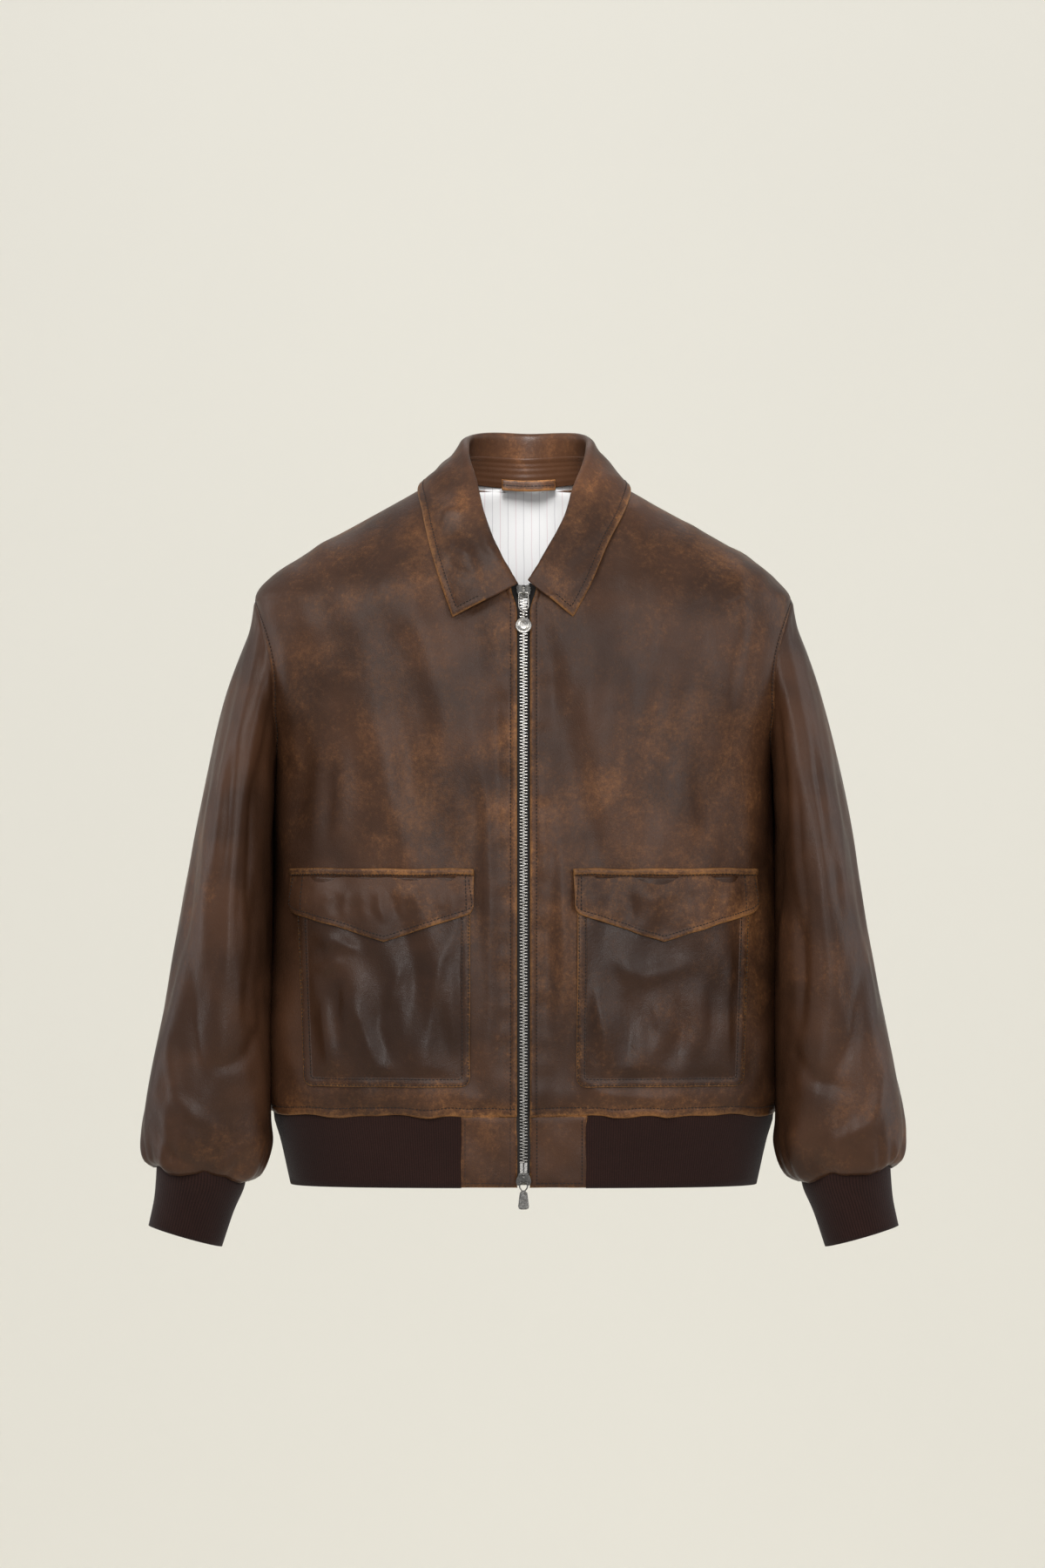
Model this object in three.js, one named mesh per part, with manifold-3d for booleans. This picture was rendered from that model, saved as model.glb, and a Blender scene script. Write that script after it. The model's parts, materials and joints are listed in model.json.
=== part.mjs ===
// A filled-out leather flight jacket: shirt collar, two-way zip, two patch pockets with pointed flaps,
// ribbed hem and cuffs. Millimetres, +Z up. The front faces -Y and the wearer's left is +X.
// The origin is on the wearer's shoulders: mid-plane, level with the base of the neck.
import * as THREE from 'three';
import { mergeVertices } from 'three/addons/utils/BufferGeometryUtils.js';
import Module from 'manifold-3d';

const wasm = await Module();
wasm.setup();

// ---- Driving dimensions -------------------------------------------------------------------------
const SEAM_GAP = 0.3;         // between neighbouring pieces
const SIDE_GAP = 0.5;         // from a side or shoulder seam's line to each of its two pieces
const LEATHER = 1.6;          // shell leather
const COLLAR_LEATHER = 2.2;   // two layers, glued
const RIB_KNIT = 2.4;
const LINING = 1.0;
const PATCH = 1.8;            // pocket leather with its turned edge
const ON_PANEL = 1.0;         // clearance of what lies on a front panel
const HEM_Z = -588;           // lower edge of the leather body
const RIB_BOTTOM_Z = -655;
const ZIP_TOP_Z = -88;
const FRONT_EDGE_X = 6;       // folded leather edge beside the teeth
const TAB_EDGE_X = 60;        // outer edge of the leather tabs in the hem
const NECK_SIDE_Z = 15;
const ARMHOLE = { top: -100, bottom: -265, depth: 65, steps: 16 };
const SHAPE_TOP = 2.2;        // superellipse exponent of the rings at the neck
const SHAPE_CHEST = 3.0;      // and from the chest down: a boxy body

// Each profile is a list of (z, size) down the body, joined smoothly.
const HALF_WIDTH = smooth([
  [17, 80], [5, 100], [-41, 183], [-59, 213], [-79, 240], [-100, 255], [-135, 254], [-200, 249],
  [-234, 240], [-265, 236], [-357, 241], [-440, 243.5], [-560, 243.5], [-590, 240], [-608, 234],
  [-655, 223],
]);
const FRONT_Y = smooth([
  [17, -15], [5, -48], [-30, -74], [-60, -91], [-88, -104], [-130, -113], [-180, -117],
  [-300, -120], [-450, -120], [-560, -118], [-590, -112], [-655, -105],
]);
const BACK_Y = smooth([
  [17, 30], [5, 77], [-60, 100], [-150, 112], [-300, 110], [-560, 109], [-590, 105], [-655, 98],
]);
const SIDE_Y = smooth([[17, 0], [-100, 0], [-265, 15], [-400, 20], [-590, 18], [-655, 10]]);
const SHAPE = smooth([[17, SHAPE_TOP], [-60, 2.5], [-130, SHAPE_CHEST], [-655, SHAPE_CHEST]]);

// The neckline of a front: half-width against height, from the zip to the side of the neck.
const NECK_RISE = NECK_SIDE_Z - ZIP_TOP_Z;
const neckX = (z) => FRONT_EDGE_X + 72 * Math.max(0, (z - ZIP_TOP_Z) / NECK_RISE) ** 0.6;

const MATERIALS = {
  leather: material(0x4b3020, 0.5, 0),
  pocketLeather: material(0x33241b, 0.4, 0),
  rib: material(0x3a2422, 0.95, 0),
  lining: material(0xe6e4e0, 0.7, 0),
  tape: material(0x17120f, 0.9, 0),
  metal: material(0xb9b4aa, 0.3, 1),
};

function material(color, roughness, metalness) {
  return new THREE.MeshStandardMaterial({ color, roughness, metalness });
}

// ---- Curves and grids ----------------------------------------------------------------------------
// A function through (position, value) knots, as cubic pieces with averaged slopes.
function smooth(knots) {
  const sorted = [...knots].sort((a, b) => a[0] - b[0]);
  const rise = sorted.slice(1).map((k, i) => (k[1] - sorted[i][1]) / (k[0] - sorted[i][0]));
  const slopes = sorted.map((k, i) => {
    const before = rise[Math.max(i - 1, 0)];
    const after = rise[Math.min(i, rise.length - 1)];
    return before * after <= 0 ? 0 : (2 * before * after) / (before + after);
  });
  return (at) => {
    const first = sorted.findIndex((k) => k[0] > at);
    const i = first < 0 ? sorted.length - 2 : Math.max(first - 1, 0);
    const width = sorted[i + 1][0] - sorted[i][0];
    const t = Math.min(Math.max((at - sorted[i][0]) / width, 0), 1);
    const h = t * t * (3 - 2 * t);
    const lean = t * (1 - t) * width * (slopes[i] * (1 - t) - slopes[i + 1] * t);
    return sorted[i][1] * (1 - h) + sorted[i + 1][1] * h + lean;
  };
}

const vec = (x, y, z) => new THREE.Vector3(x, y, z);
const lerp = THREE.MathUtils.lerp;
const steps = (from, to, count) =>
  Array.from({ length: count + 1 }, (_, i) => lerp(from, to, i / count));
const mirrored = (grid) => grid.map((row) => row.map((p) => vec(-p.x, p.y, p.z)));

// Moves every point of a grid along its surface normal, where (down the rows) x (along them) is out.
function moved(grid, distance, wrapped = false) {
  const rows = grid.length;
  const columns = grid[0].length;
  return grid.map((row, i) => row.map((p, j) => {
    const next = wrapped ? (j + 1) % columns : Math.min(j + 1, columns - 1);
    const last = wrapped ? (j + columns - 1) % columns : Math.max(j - 1, 0);
    const along = vec(0, 0, 0).subVectors(row[next], row[last]);
    const down = vec(0, 0, 0).subVectors(grid[Math.min(i + 1, rows - 1)][j], grid[Math.max(i - 1, 0)][j]);
    return p.clone().addScaledVector(down.cross(along).normalize(), distance);
  }));
}

// A closed body between two grids of points; its faces are turned outwards by its signed volume.
function wall(outer, inner, wrapped = false) {
  const rows = outer.length;
  const columns = outer[0].length;
  const points = [...outer.flat(), ...inner.flat()];
  const faces = [];
  const quad = (a, b, c, d) => faces.push([a, b, c], [a, c, d]);
  const at = (layer, i, j) => layer * rows * columns + i * columns + (j % columns);
  const spans = wrapped ? columns : columns - 1;
  for (let i = 0; i < rows - 1; i += 1) {
    for (let j = 0; j < spans; j += 1) {
      quad(at(0, i, j), at(0, i + 1, j), at(0, i + 1, j + 1), at(0, i, j + 1));
      quad(at(1, i, j), at(1, i, j + 1), at(1, i + 1, j + 1), at(1, i + 1, j));
    }
  }
  for (let j = 0; j < spans; j += 1) {
    quad(at(0, 0, j), at(0, 0, j + 1), at(1, 0, j + 1), at(1, 0, j));
    quad(at(0, rows - 1, j), at(1, rows - 1, j), at(1, rows - 1, j + 1), at(0, rows - 1, j + 1));
  }
  for (let i = 0; i < rows - 1 && !wrapped; i += 1) {
    quad(at(0, i, 0), at(1, i, 0), at(1, i + 1, 0), at(0, i + 1, 0));
    quad(at(0, i, spans), at(0, i + 1, spans), at(1, i + 1, spans), at(1, i, spans));
  }
  const volume = faces.reduce((sum, [a, b, c]) =>
    sum + points[a].dot(vec(0, 0, 0).crossVectors(points[b], points[c])), 0);
  const turned = volume < 0 ? faces.map(([a, b, c]) => [a, c, b]) : faces;
  const geometry = new THREE.BufferGeometry().setFromPoints(points);
  geometry.setIndex(turned.flat());
  return geometry;
}

const jacket = new THREE.Group();

function add(name, geometry, look) {
  const mesh = new THREE.Mesh(geometry, look);
  mesh.name = name;
  jacket.add(mesh);
  return mesh;
}

// The wearer's left piece as given, and its mirror image for the right.
function addPair(name, outer, inner, look, wrapped = false) {
  add(`${name}_left`, wall(outer, inner, wrapped), look);
  add(`${name}_right`, wall(mirrored(outer), mirrored(inner), wrapped), look);
}

// ---- The body's form: horizontal superellipse rings ----------------------------------------------
// Half of a ring from the middle (front or back) to the side, as points with their running length.
function halfRing(z, facing, inset = 0) {
  const halfWidth = HALF_WIDTH(z) - inset;
  const middle = facing < 0 ? FRONT_Y(z) + inset : BACK_Y(z) - inset;
  const depth = middle - SIDE_Y(z);
  const samples = steps(0, Math.PI / 2, 60).map((t) => {
    const x = halfWidth * Math.sin(t) ** (2 / SHAPE(z));
    const y = SIDE_Y(z) + depth * Math.cos(t) ** (2 / SHAPE(z));
    return vec(x, y, z);
  });
  let total = 0;
  const lengths = samples.map((p, i) => (total += i ? p.distanceTo(samples[i - 1]) : 0));
  return { samples, lengths };
}

function pointAt({ samples, lengths }, length) {
  const found = lengths.findIndex((l) => l >= length);
  const i = found < 0 ? lengths.length - 1 : Math.max(found, 1);
  const share = (length - lengths[i - 1]) / (lengths[i] - lengths[i - 1]);
  return samples[i - 1].clone().lerp(samples[i], share);
}

function lengthWhere({ samples, lengths }, reached) {
  const found = samples.findIndex(reached.test);
  if (found < 0) {
    return lengths.at(-1);
  }
  const i = Math.max(found, 1);
  const [before, after] = [reached.value(samples[i - 1]), reached.value(samples[i])];
  return lerp(lengths[i - 1], lengths[i], (reached.target - before) / (after - before));
}

const lengthAtX = (ring, x) =>
  lengthWhere(ring, { test: (p) => p.x >= x, value: (p) => p.x, target: x });
const lengthAtY = (ring, y, facing) =>
  lengthWhere(ring, { test: (p) => (p.y - y) * facing <= 0, value: (p) => p.y, target: y });

function frontY(x, z, inset = 0) {
  const shape = SHAPE(z);
  const reach = Math.max(0, 1 - (Math.abs(x) / (HALF_WIDTH(z) - inset)) ** shape);
  return SIDE_Y(z) + (FRONT_Y(z) + inset - SIDE_Y(z)) * reach ** (1 / shape);
}

// ---- Armhole: an oval in side view, cut through the body's form -----------------------------------
const armholeMid = (ARMHOLE.top + ARMHOLE.bottom) / 2;
const armholeHalf = (ARMHOLE.top - ARMHOLE.bottom) / 2;
const armholeAngles = steps(0, Math.PI, ARMHOLE.steps / 2);
const armholeZ = (angle) => armholeMid + armholeHalf * Math.cos(angle);

function armholeReach(z) {
  const share = (z - armholeMid) / armholeHalf;
  return Math.abs(share) < 1 ? ARMHOLE.depth * Math.sqrt(1 - share * share) : 0;
}

function armholePoint(angle) {
  const z = armholeZ(angle);
  const facing = Math.sin(angle) >= 0 ? -1 : 1;
  const ring = halfRing(z, facing);
  const y = SIDE_Y(z) + facing * Math.abs(Math.sin(angle)) * ARMHOLE.depth;
  return pointAt(ring, lengthAtY(ring, y, facing));
}

// ---- Fronts and back --------------------------------------------------------------------------------
const BODY_ROWS = [
  15, 10, -2, -20, -40, -60, -79, ...armholeAngles.map(armholeZ),
  -305, -345, -385, -430, -475, -520, -562, HEM_Z,
];
const FRONT_COLUMNS = 10;
const BACK_COLUMNS = 14;

function outerLength(ring, z, facing) {
  return lengthAtY(ring, SIDE_Y(z) + facing * (armholeReach(z) + SIDE_GAP), facing);
}

function frontRow(z) {
  const ring = halfRing(z, -1);
  const from = lengthAtX(ring, neckX(z));
  return steps(from, outerLength(ring, z, -1), FRONT_COLUMNS).map((l) => pointAt(ring, l));
}

const frontOuter = BODY_ROWS.map(frontRow);
addPair('front', frontOuter, moved(frontOuter, -LEATHER), MATERIALS.leather);

// The rows of the back dip towards the middle near the neck, so that the last one is the neckline.
const BACK_NECK_DIP = 8;
function backPoint(z, side, inset = 0) {
  const nearTop = THREE.MathUtils.smoothstep(z, -60, NECK_SIDE_Z);
  const level = z - BACK_NECK_DIP * nearTop * (1 - side * side);
  const ring = halfRing(level, 1, inset);
  const point = pointAt(ring, Math.abs(side) * outerLength(ring, level, 1));
  point.x *= Math.sign(side) || 1;
  return point;
}

const backOuter = BODY_ROWS.map((z) => steps(1, -1, BACK_COLUMNS).map((s) => backPoint(z, s)));
add('back', wall(backOuter, moved(backOuter, -LEATHER)), MATERIALS.leather);

// The lining shows inside the neck: one panel against the inside of the back, made from its points.
const liningGrid = (inset) => moved(backOuter, -inset).slice(2, -1).map((row) => row.slice(1, -1));
const liningInset = LEATHER + 2 * SEAM_GAP;
add('lining_back', wall(liningGrid(liningInset), liningGrid(liningInset + LINING)), MATERIALS.lining);

// ---- Hem: a knitted rib from tab to tab round the back, and a leather tab on each side of the zip ---
const RIB_ROWS = [-580, -600, -628, RIB_BOTTOM_Z];
const RIB_INSET = LEATHER + 0.6;

function ribRow(z, inset) {
  const front = halfRing(z, -1, inset);
  const back = halfRing(z, 1, inset);
  const half = [
    ...steps(lengthAtX(front, TAB_EDGE_X + SEAM_GAP), front.lengths.at(-1), 7).map((l) => pointAt(front, l)),
    ...steps(back.lengths.at(-1), 0, 8).slice(1).map((l) => pointAt(back, l)),
  ];
  return [...half, ...half.slice(0, -1).reverse().map((p) => vec(-p.x, p.y, p.z))];
}

const ribInset = (z) => RIB_INSET + (z < HEM_Z ? 0 : 2);
add('hem_rib', wall(
  RIB_ROWS.map((z) => ribRow(z, ribInset(z))),
  RIB_ROWS.map((z) => ribRow(z, ribInset(z) + RIB_KNIT)),
), MATERIALS.rib);

const TAB_ROWS = [HEM_Z - SEAM_GAP, -610, -633, RIB_BOTTOM_Z];
const tabGrid = (inset) => TAB_ROWS.map((z) =>
  steps(FRONT_EDGE_X, TAB_EDGE_X, 3).map((x) => vec(x, frontY(x, z, inset), z)));
addPair('hem_tab', tabGrid(0), tabGrid(LEATHER), MATERIALS.leather);

// ---- Sleeves: rings from the armhole to the wrist ---------------------------------------------------
// Each ring: its outermost (x, z), its innermost (x, z), half its depth and its middle y.
const SLEEVE_RINGS = [
  [258, -100, 236, -265.5, 65, 8], [262, -122, 237.5, -280, 70, 5], [268, -148, 239.5, -300, 76, 2],
  [281, -192, 241.5, -330, 83, -4], [297, -255, 243, -370, 85, -12], [311, -320, 243.5, -412, 83, -19],
  [328, -425, 244, -475, 75, -28], [344, -512, 243, -540, 67, -33], [357, -575, 242, -590, 61, -36],
  [361, -605, 240, -617, 58, -36], [359, -629, 250, -643, 50, -36], [350, -637, 262, -650, 44, -36],
];
const CUFF_RINGS = [
  [346, -630, 265, -641, 41, -36], [347, -650, 267, -657, 40, -36],
  [349, -670, 277, -680, 36, -36], [354, -694, 288, -713, 32, -37],
];
const ARM_CLEAR = 2;           // between a sleeve and the body
const SLEEVE_STEP = 2.2;       // from the armhole's edge to the first ring
const ringAngles = Array.from({ length: ARMHOLE.steps }, (_, k) => (2 * Math.PI * k) / ARMHOLE.steps);

const armRing = ([outX, outZ, inX, inZ, depth, middleY]) => ringAngles.map((angle) => vec(
  lerp(inX, outX, (1 + Math.cos(angle)) / 2),
  middleY - depth * Math.sin(angle),
  lerp(inZ, outZ, (1 + Math.cos(angle)) / 2),
));

// Half-width of the body at a depth y, for keeping a sleeve clear of it.
function bodyX(y, z) {
  const reach = (y < SIDE_Y(z) ? FRONT_Y(z) : BACK_Y(z)) - SIDE_Y(z);
  const share = Math.min(Math.abs((y - SIDE_Y(z)) / reach), 1);
  return HALF_WIDTH(z) * (1 - share ** SHAPE(z)) ** (1 / SHAPE(z));
}

const sleeveOuter = SLEEVE_RINGS.map((ring, i) => armRing(ring).map((p, k) => {
  const seam = armholePoint(ringAngles[k]);
  const settled = THREE.MathUtils.smoothstep(i, 0, 4);
  if (i === 0) {
    return seam.add(vec(SLEEVE_STEP, -SLEEVE_STEP * 0.4 * Math.sin(ringAngles[k]), 0));
  }
  const plain = armRing(SLEEVE_RINGS[0])[k];
  p.addScaledVector(seam.sub(plain), 1 - settled);
  p.x = Math.max(p.x, bodyX(p.y, p.z) + ARM_CLEAR + LEATHER);
  return p;
}));
addPair('sleeve', sleeveOuter, moved(sleeveOuter, -LEATHER, true), MATERIALS.leather, true);

const cuffOuter = CUFF_RINGS.map(armRing);
addPair('cuff', cuffOuter, moved(cuffOuter, -RIB_KNIT, true), MATERIALS.rib, true);

// ---- Pockets: leather patches and flaps that follow the front panels --------------------------------
// Each grid is given in front view and laid on the panel, moved out by its own clearance.
function onPanel(grid, out) {
  return grid.map((row) => row.map(([x, z]) => {
    const normal = vec(
      frontY(x + 1, z) - frontY(x - 1, z),
      -2,
      0,
    ).normalize();
    return vec(x, frontY(x, z), z).addScaledVector(normal, out);
  }));
}

const POCKET = { inner: 50, outer: 213, top: -362, bottom: -560, edge: 8, taper: 6, corner: 9 };
const pocketOuterX = (z) => lerp(POCKET.outer, POCKET.outer - POCKET.taper,
  (POCKET.top - z) / (POCKET.top - POCKET.bottom));
const POCKET_ROWS = steps(POCKET.top, POCKET.bottom + POCKET.edge, 5);
const pocketGrid = POCKET_ROWS.map((z) =>
  steps(POCKET.inner + POCKET.edge, pocketOuterX(z) - POCKET.edge, 8).map((x) => [x, z]));
addPair(
  'pocket',
  onPanel(pocketGrid, ON_PANEL + PATCH),
  onPanel(pocketGrid, ON_PANEL),
  MATERIALS.pocketLeather,
);

// The stitched strip round a pocket: down one side, along the bottom and up the other.
function stripPath(inset) {
  const low = POCKET.bottom + inset;
  const cut = POCKET.corner * (1 - inset / POCKET.edge);
  const outer = (z) => pocketOuterX(z) - inset;
  const inner = POCKET.inner + inset;
  const sides = steps(POCKET.top, low + cut, 4);
  return [
    ...sides.map((z) => [inner, z]),
    ...steps(inner + cut, outer(low) - cut, 8).map((x) => [x, low]),
    ...[...sides].reverse().map((z) => [outer(z), z]),
  ];
}
const stripGrid = [stripPath(0), stripPath(POCKET.edge - SEAM_GAP)];
addPair(
  'pocket_edge',
  onPanel(stripGrid, ON_PANEL + PATCH),
  onPanel(stripGrid, ON_PANEL),
  MATERIALS.pocketLeather,
);

// A flap's top band is folded and sewn to the panel; below it the flap lies over its pocket.
const FLAP = { inner: 46, outer: 218, top: -354, band: 7, corner: -396, point: -423, middle: 131 };
const flapLow = (x) => (x < FLAP.middle
  ? lerp(FLAP.corner, FLAP.point, (x - FLAP.inner) / (FLAP.middle - FLAP.inner))
  : lerp(FLAP.point, FLAP.corner, (x - FLAP.middle) / (FLAP.outer - FLAP.middle)));
const FLAP_COLUMNS = [46, 52, 78, 105, 131, 155, 178, 198, 212, 218];
const flapGrid = (from, to) => [0, 0.5, 1].map((v) =>
  FLAP_COLUMNS.map((x) => [x, lerp(from, to === null ? flapLow(x) : to, v)]));
const flapOut = ON_PANEL + PATCH + 0.6;
const flapBody = flapGrid(POCKET.top, null);
addPair('flap', onPanel(flapBody, flapOut + PATCH), onPanel(flapBody, flapOut), MATERIALS.leather);
const flapBand = flapGrid(FLAP.top, FLAP.top - FLAP.band);
addPair('flap_band', onPanel(flapBand, flapOut + PATCH), onPanel(flapBand, ON_PANEL), MATERIALS.leather);

// ---- Collar: a stitched stand and a fall that turns over it ------------------------------------------
// Paired stations from the wearer's right front, round the back, to the left front. Each has the height
// of the neck seam, the fold (x, y, z) and the fall's edge (x, y, z); y = null follows the front panel.
const COLLAR = [
  [-87, [-4, -112, -85], [-67, null, -118]],
  [-70, [-18, -104, -62], [-79, null, -84]],
  [-36, [-34, -80, -28], [-89, null, -50]],
  [-4, [-43, -52, 8], [-96, null, -18]],
  [14, [-50, -14, 42], [-99, 0, 9]],
  [11, [-42, 38, 59], [-72, 64, -4]],
  [7, [4, 66, 59], [0, 92, -12]],
  [11, [50, 38, 59], [74, 64, -4]],
  [14, [57, -14, 42], [101, 0, 9]],
  [-4, [47, -52, 8], [97, null, -14]],
  [-36, [36, -80, -26], [80, null, -48]],
  [-70, [16, -104, -62], [64, null, -86]],
  [-87, [3, -112, -82], [47, null, -118]],
];
const COLLAR_STATIONS = 24;
const STAND_SHARE = 0.55;

function neckPoint(z, station) {
  if (station > 3 && station < 9) {
    const side = (6 - station) / 2;
    const ring = halfRing(z, 1);
    const share = Math.abs(side) > 1 ? 1 : Math.abs(side);
    const point = pointAt(ring, ring.lengths.at(-1) * share * 0.97);
    point.x *= -Math.sign(side) || 1;
    return point;
  }
  const x = neckX(z) * (station < 6 ? -1 : 1);
  return vec(x, frontY(x, z), z);
}

const along = (points) => new THREE.CatmullRomCurve3(points, false, 'centripetal')
  .getPoints(COLLAR_STATIONS);
const placed = ([x, y, z]) => vec(x, y === null ? frontY(x, z) - 4 : y, z);
const seamLine = along(COLLAR.map(([z], i) => neckPoint(z, i)));
const foldLine = along(COLLAR.map(([, fold]) => placed(fold)));
const edgeLine = along(COLLAR.map(([, , edge]) => placed(edge)));

// Keeps a point outside the body's form by a clearance.
function clearOfBody(p, clearance) {
  const depth = (q) => {
    const reach = (q.y < SIDE_Y(q.z) ? FRONT_Y(q.z) : BACK_Y(q.z)) - SIDE_Y(q.z);
    const shape = SHAPE(q.z);
    const sum = Math.abs(q.x / HALF_WIDTH(q.z)) ** shape + Math.abs((q.y - SIDE_Y(q.z)) / reach) ** shape;
    return sum ** (1 / shape) - 1;
  };
  const at = p.clone();
  for (let i = 0; i < 8; i += 1) {
    const here = depth(at);
    const slope = vec(
      depth(at.clone().setX(at.x + 0.5)) - here,
      depth(at.clone().setY(at.y + 0.5)) - here,
      depth(at.clone().setZ(at.z + 0.5)) - here,
    ).multiplyScalar(2);
    const steep = Math.max(slope.length(), 1e-4);
    const short = clearance - here / steep;
    if (short > 0) {
      at.addScaledVector(slope.divideScalar(steep), Math.min(short, 6));
    }
  }
  return at;
}

function collarSection(station) {
  const seam = seamLine[station];
  const fold = foldLine[station];
  const edge = edgeLine[station];
  const rise = vec(0, 0, 0).subVectors(fold, seam);
  const fall = vec(0, 0, 0).subVectors(edge, fold);
  const crest = rise.clone().normalize().sub(fall.clone().normalize()).normalize();
  const side = fall.clone().addScaledVector(crest, -fall.dot(crest)).normalize();
  const turn = Math.min(5, 0.35 * rise.length() + 1);
  const start = seam.clone().lerp(fold, STAND_SHARE);
  const inside = fold.clone().addScaledVector(crest, -turn);
  const outside = fold.clone().addScaledVector(crest, -turn).addScaledVector(side, 2 * turn);
  const top = fold.clone().addScaledVector(side, turn);
  const middle = outside.clone().lerp(edge, 0.5).addScaledVector(crest, 3);
  const path = new THREE.CatmullRomCurve3([start, inside, top, outside, middle, edge], false, 'centripetal');
  return path.getPoints(8).map((p, i) => (i > 3 ? clearOfBody(p, COLLAR_LEATHER + 2.2) : p));
}

const sections = foldLine.map((_, station) => collarSection(station));
const collarOuter = sections[0].map((_, row) => sections.map((section) => section[row]));
add('collar', wall(collarOuter, moved(collarOuter, COLLAR_LEATHER)), MATERIALS.leather);

const STAND_ENDS = 3;          // stations at each front end where the stand has tapered away
const standRow = (share) => seamLine
  .map((seam, i) => seam.clone().lerp(foldLine[i], share))
  .slice(STAND_ENDS, -STAND_ENDS);
const standInner = [0.14, 0.32, STAND_SHARE - 0.03].map(standRow);
add('collar_stand', wall(standInner, moved(standInner, LEATHER)), MATERIALS.leather);

// The hanger loop: a narrow strap sewn under the stand at the middle of the back neck.
const LOOP = { half: 25, top: 14, bottom: 6, thick: 1.6, stand: 4 };
const loopGrid = (out) => [LOOP.top, LOOP.bottom].map((z) => steps(-LOOP.half, LOOP.half, 6).map((x) => {
  const lift = LOOP.stand * (1 - (x / LOOP.half) ** 2);
  return vec(x + 4, 58 - lift - out + Math.abs(x) * 0.02, z);
}));
add('hanger_loop', wall(loopGrid(LOOP.thick), loopGrid(0)), MATERIALS.leather);

// ---- Zip: two tapes, two rows of teeth, a slider at each end with its pull tab ---------------------
const ZIP = {
  top: ZIP_TOP_Z - 4, bottom: -648, teeth: 3.6, teethDepth: 2.8, teethBack: 0.9,
  tapeFrom: 3.9, tapeTo: 15, tapeThick: 0.8, middle: 2.3,
};
const ZIP_ROWS = [ZIP.top, -130, -180, -240, -300, -375, -450, -510, -560, -592, -625, ZIP.bottom];
const zipStrip = (from, to, depth) => ZIP_ROWS.map((z) => [
  vec(from, FRONT_Y(z) + depth, z),
  vec(to, FRONT_Y(z) + depth, z),
]);
const teethGrid = (depth) => zipStrip(SEAM_GAP / 2, ZIP.teeth, depth);
const tapeGrid = (depth) => zipStrip(ZIP.tapeFrom, ZIP.tapeTo, depth);
addPair('zip_teeth', teethGrid(ZIP.teethBack), teethGrid(ZIP.teethBack + ZIP.teethDepth), MATERIALS.metal);
addPair('zip_tape', tapeGrid(ZIP.middle), tapeGrid(ZIP.middle + ZIP.tapeThick), MATERIALS.tape);

function solidOf(geometry) {
  const bare = geometry.clone();
  Object.keys(bare.attributes)
    .filter((key) => key !== 'position')
    .forEach((key) => bare.deleteAttribute(key));
  const merged = mergeVertices(bare, 1e-4);
  return new wasm.Manifold(new wasm.Mesh({
    numProp: 3,
    vertProperties: new Float32Array(merged.attributes.position.array),
    triVerts: new Uint32Array(merged.index.array),
  }));
}

function joined(geometries) {
  const mesh = geometries.map(solidOf).reduce((sum, solid) => sum.add(solid)).getMesh();
  const geometry = new THREE.BufferGeometry();
  geometry.setAttribute('position', new THREE.BufferAttribute(new Float32Array(mesh.vertProperties), 3));
  geometry.setIndex(new THREE.BufferAttribute(new Uint32Array(mesh.triVerts), 1));
  return geometry;
}

const box = (width, depth, height, x, y, z) =>
  new THREE.BoxGeometry(width, depth, height).translate(x, y, z);

// A flat piece: an outline in x and z, extruded along y and centred there.
function flatPiece(shape, thick, curveSegments = 8) {
  return new THREE.ExtrudeGeometry(shape, { depth: thick, bevelEnabled: false, curveSegments })
    .translate(0, 0, -thick / 2)
    .rotateX(Math.PI / 2);
}

const outline = (points) => new THREE.Shape(points.map(([x, z]) => new THREE.Vector2(x, z)));

// A slider in its own frame: y = 0 on the leather's face, z = 0 at its blunt end, its length along -z.
const SLIDER = {
  width: 14, length: 12, narrow: 10.5, plate: 1.6,
  front: -0.4, back: 4.4, post: 3, bridge: 3,
};
const BRIDGE = { near: 2.2, far: 9.4, reach: 3.6, bar: 1.1 };

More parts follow.
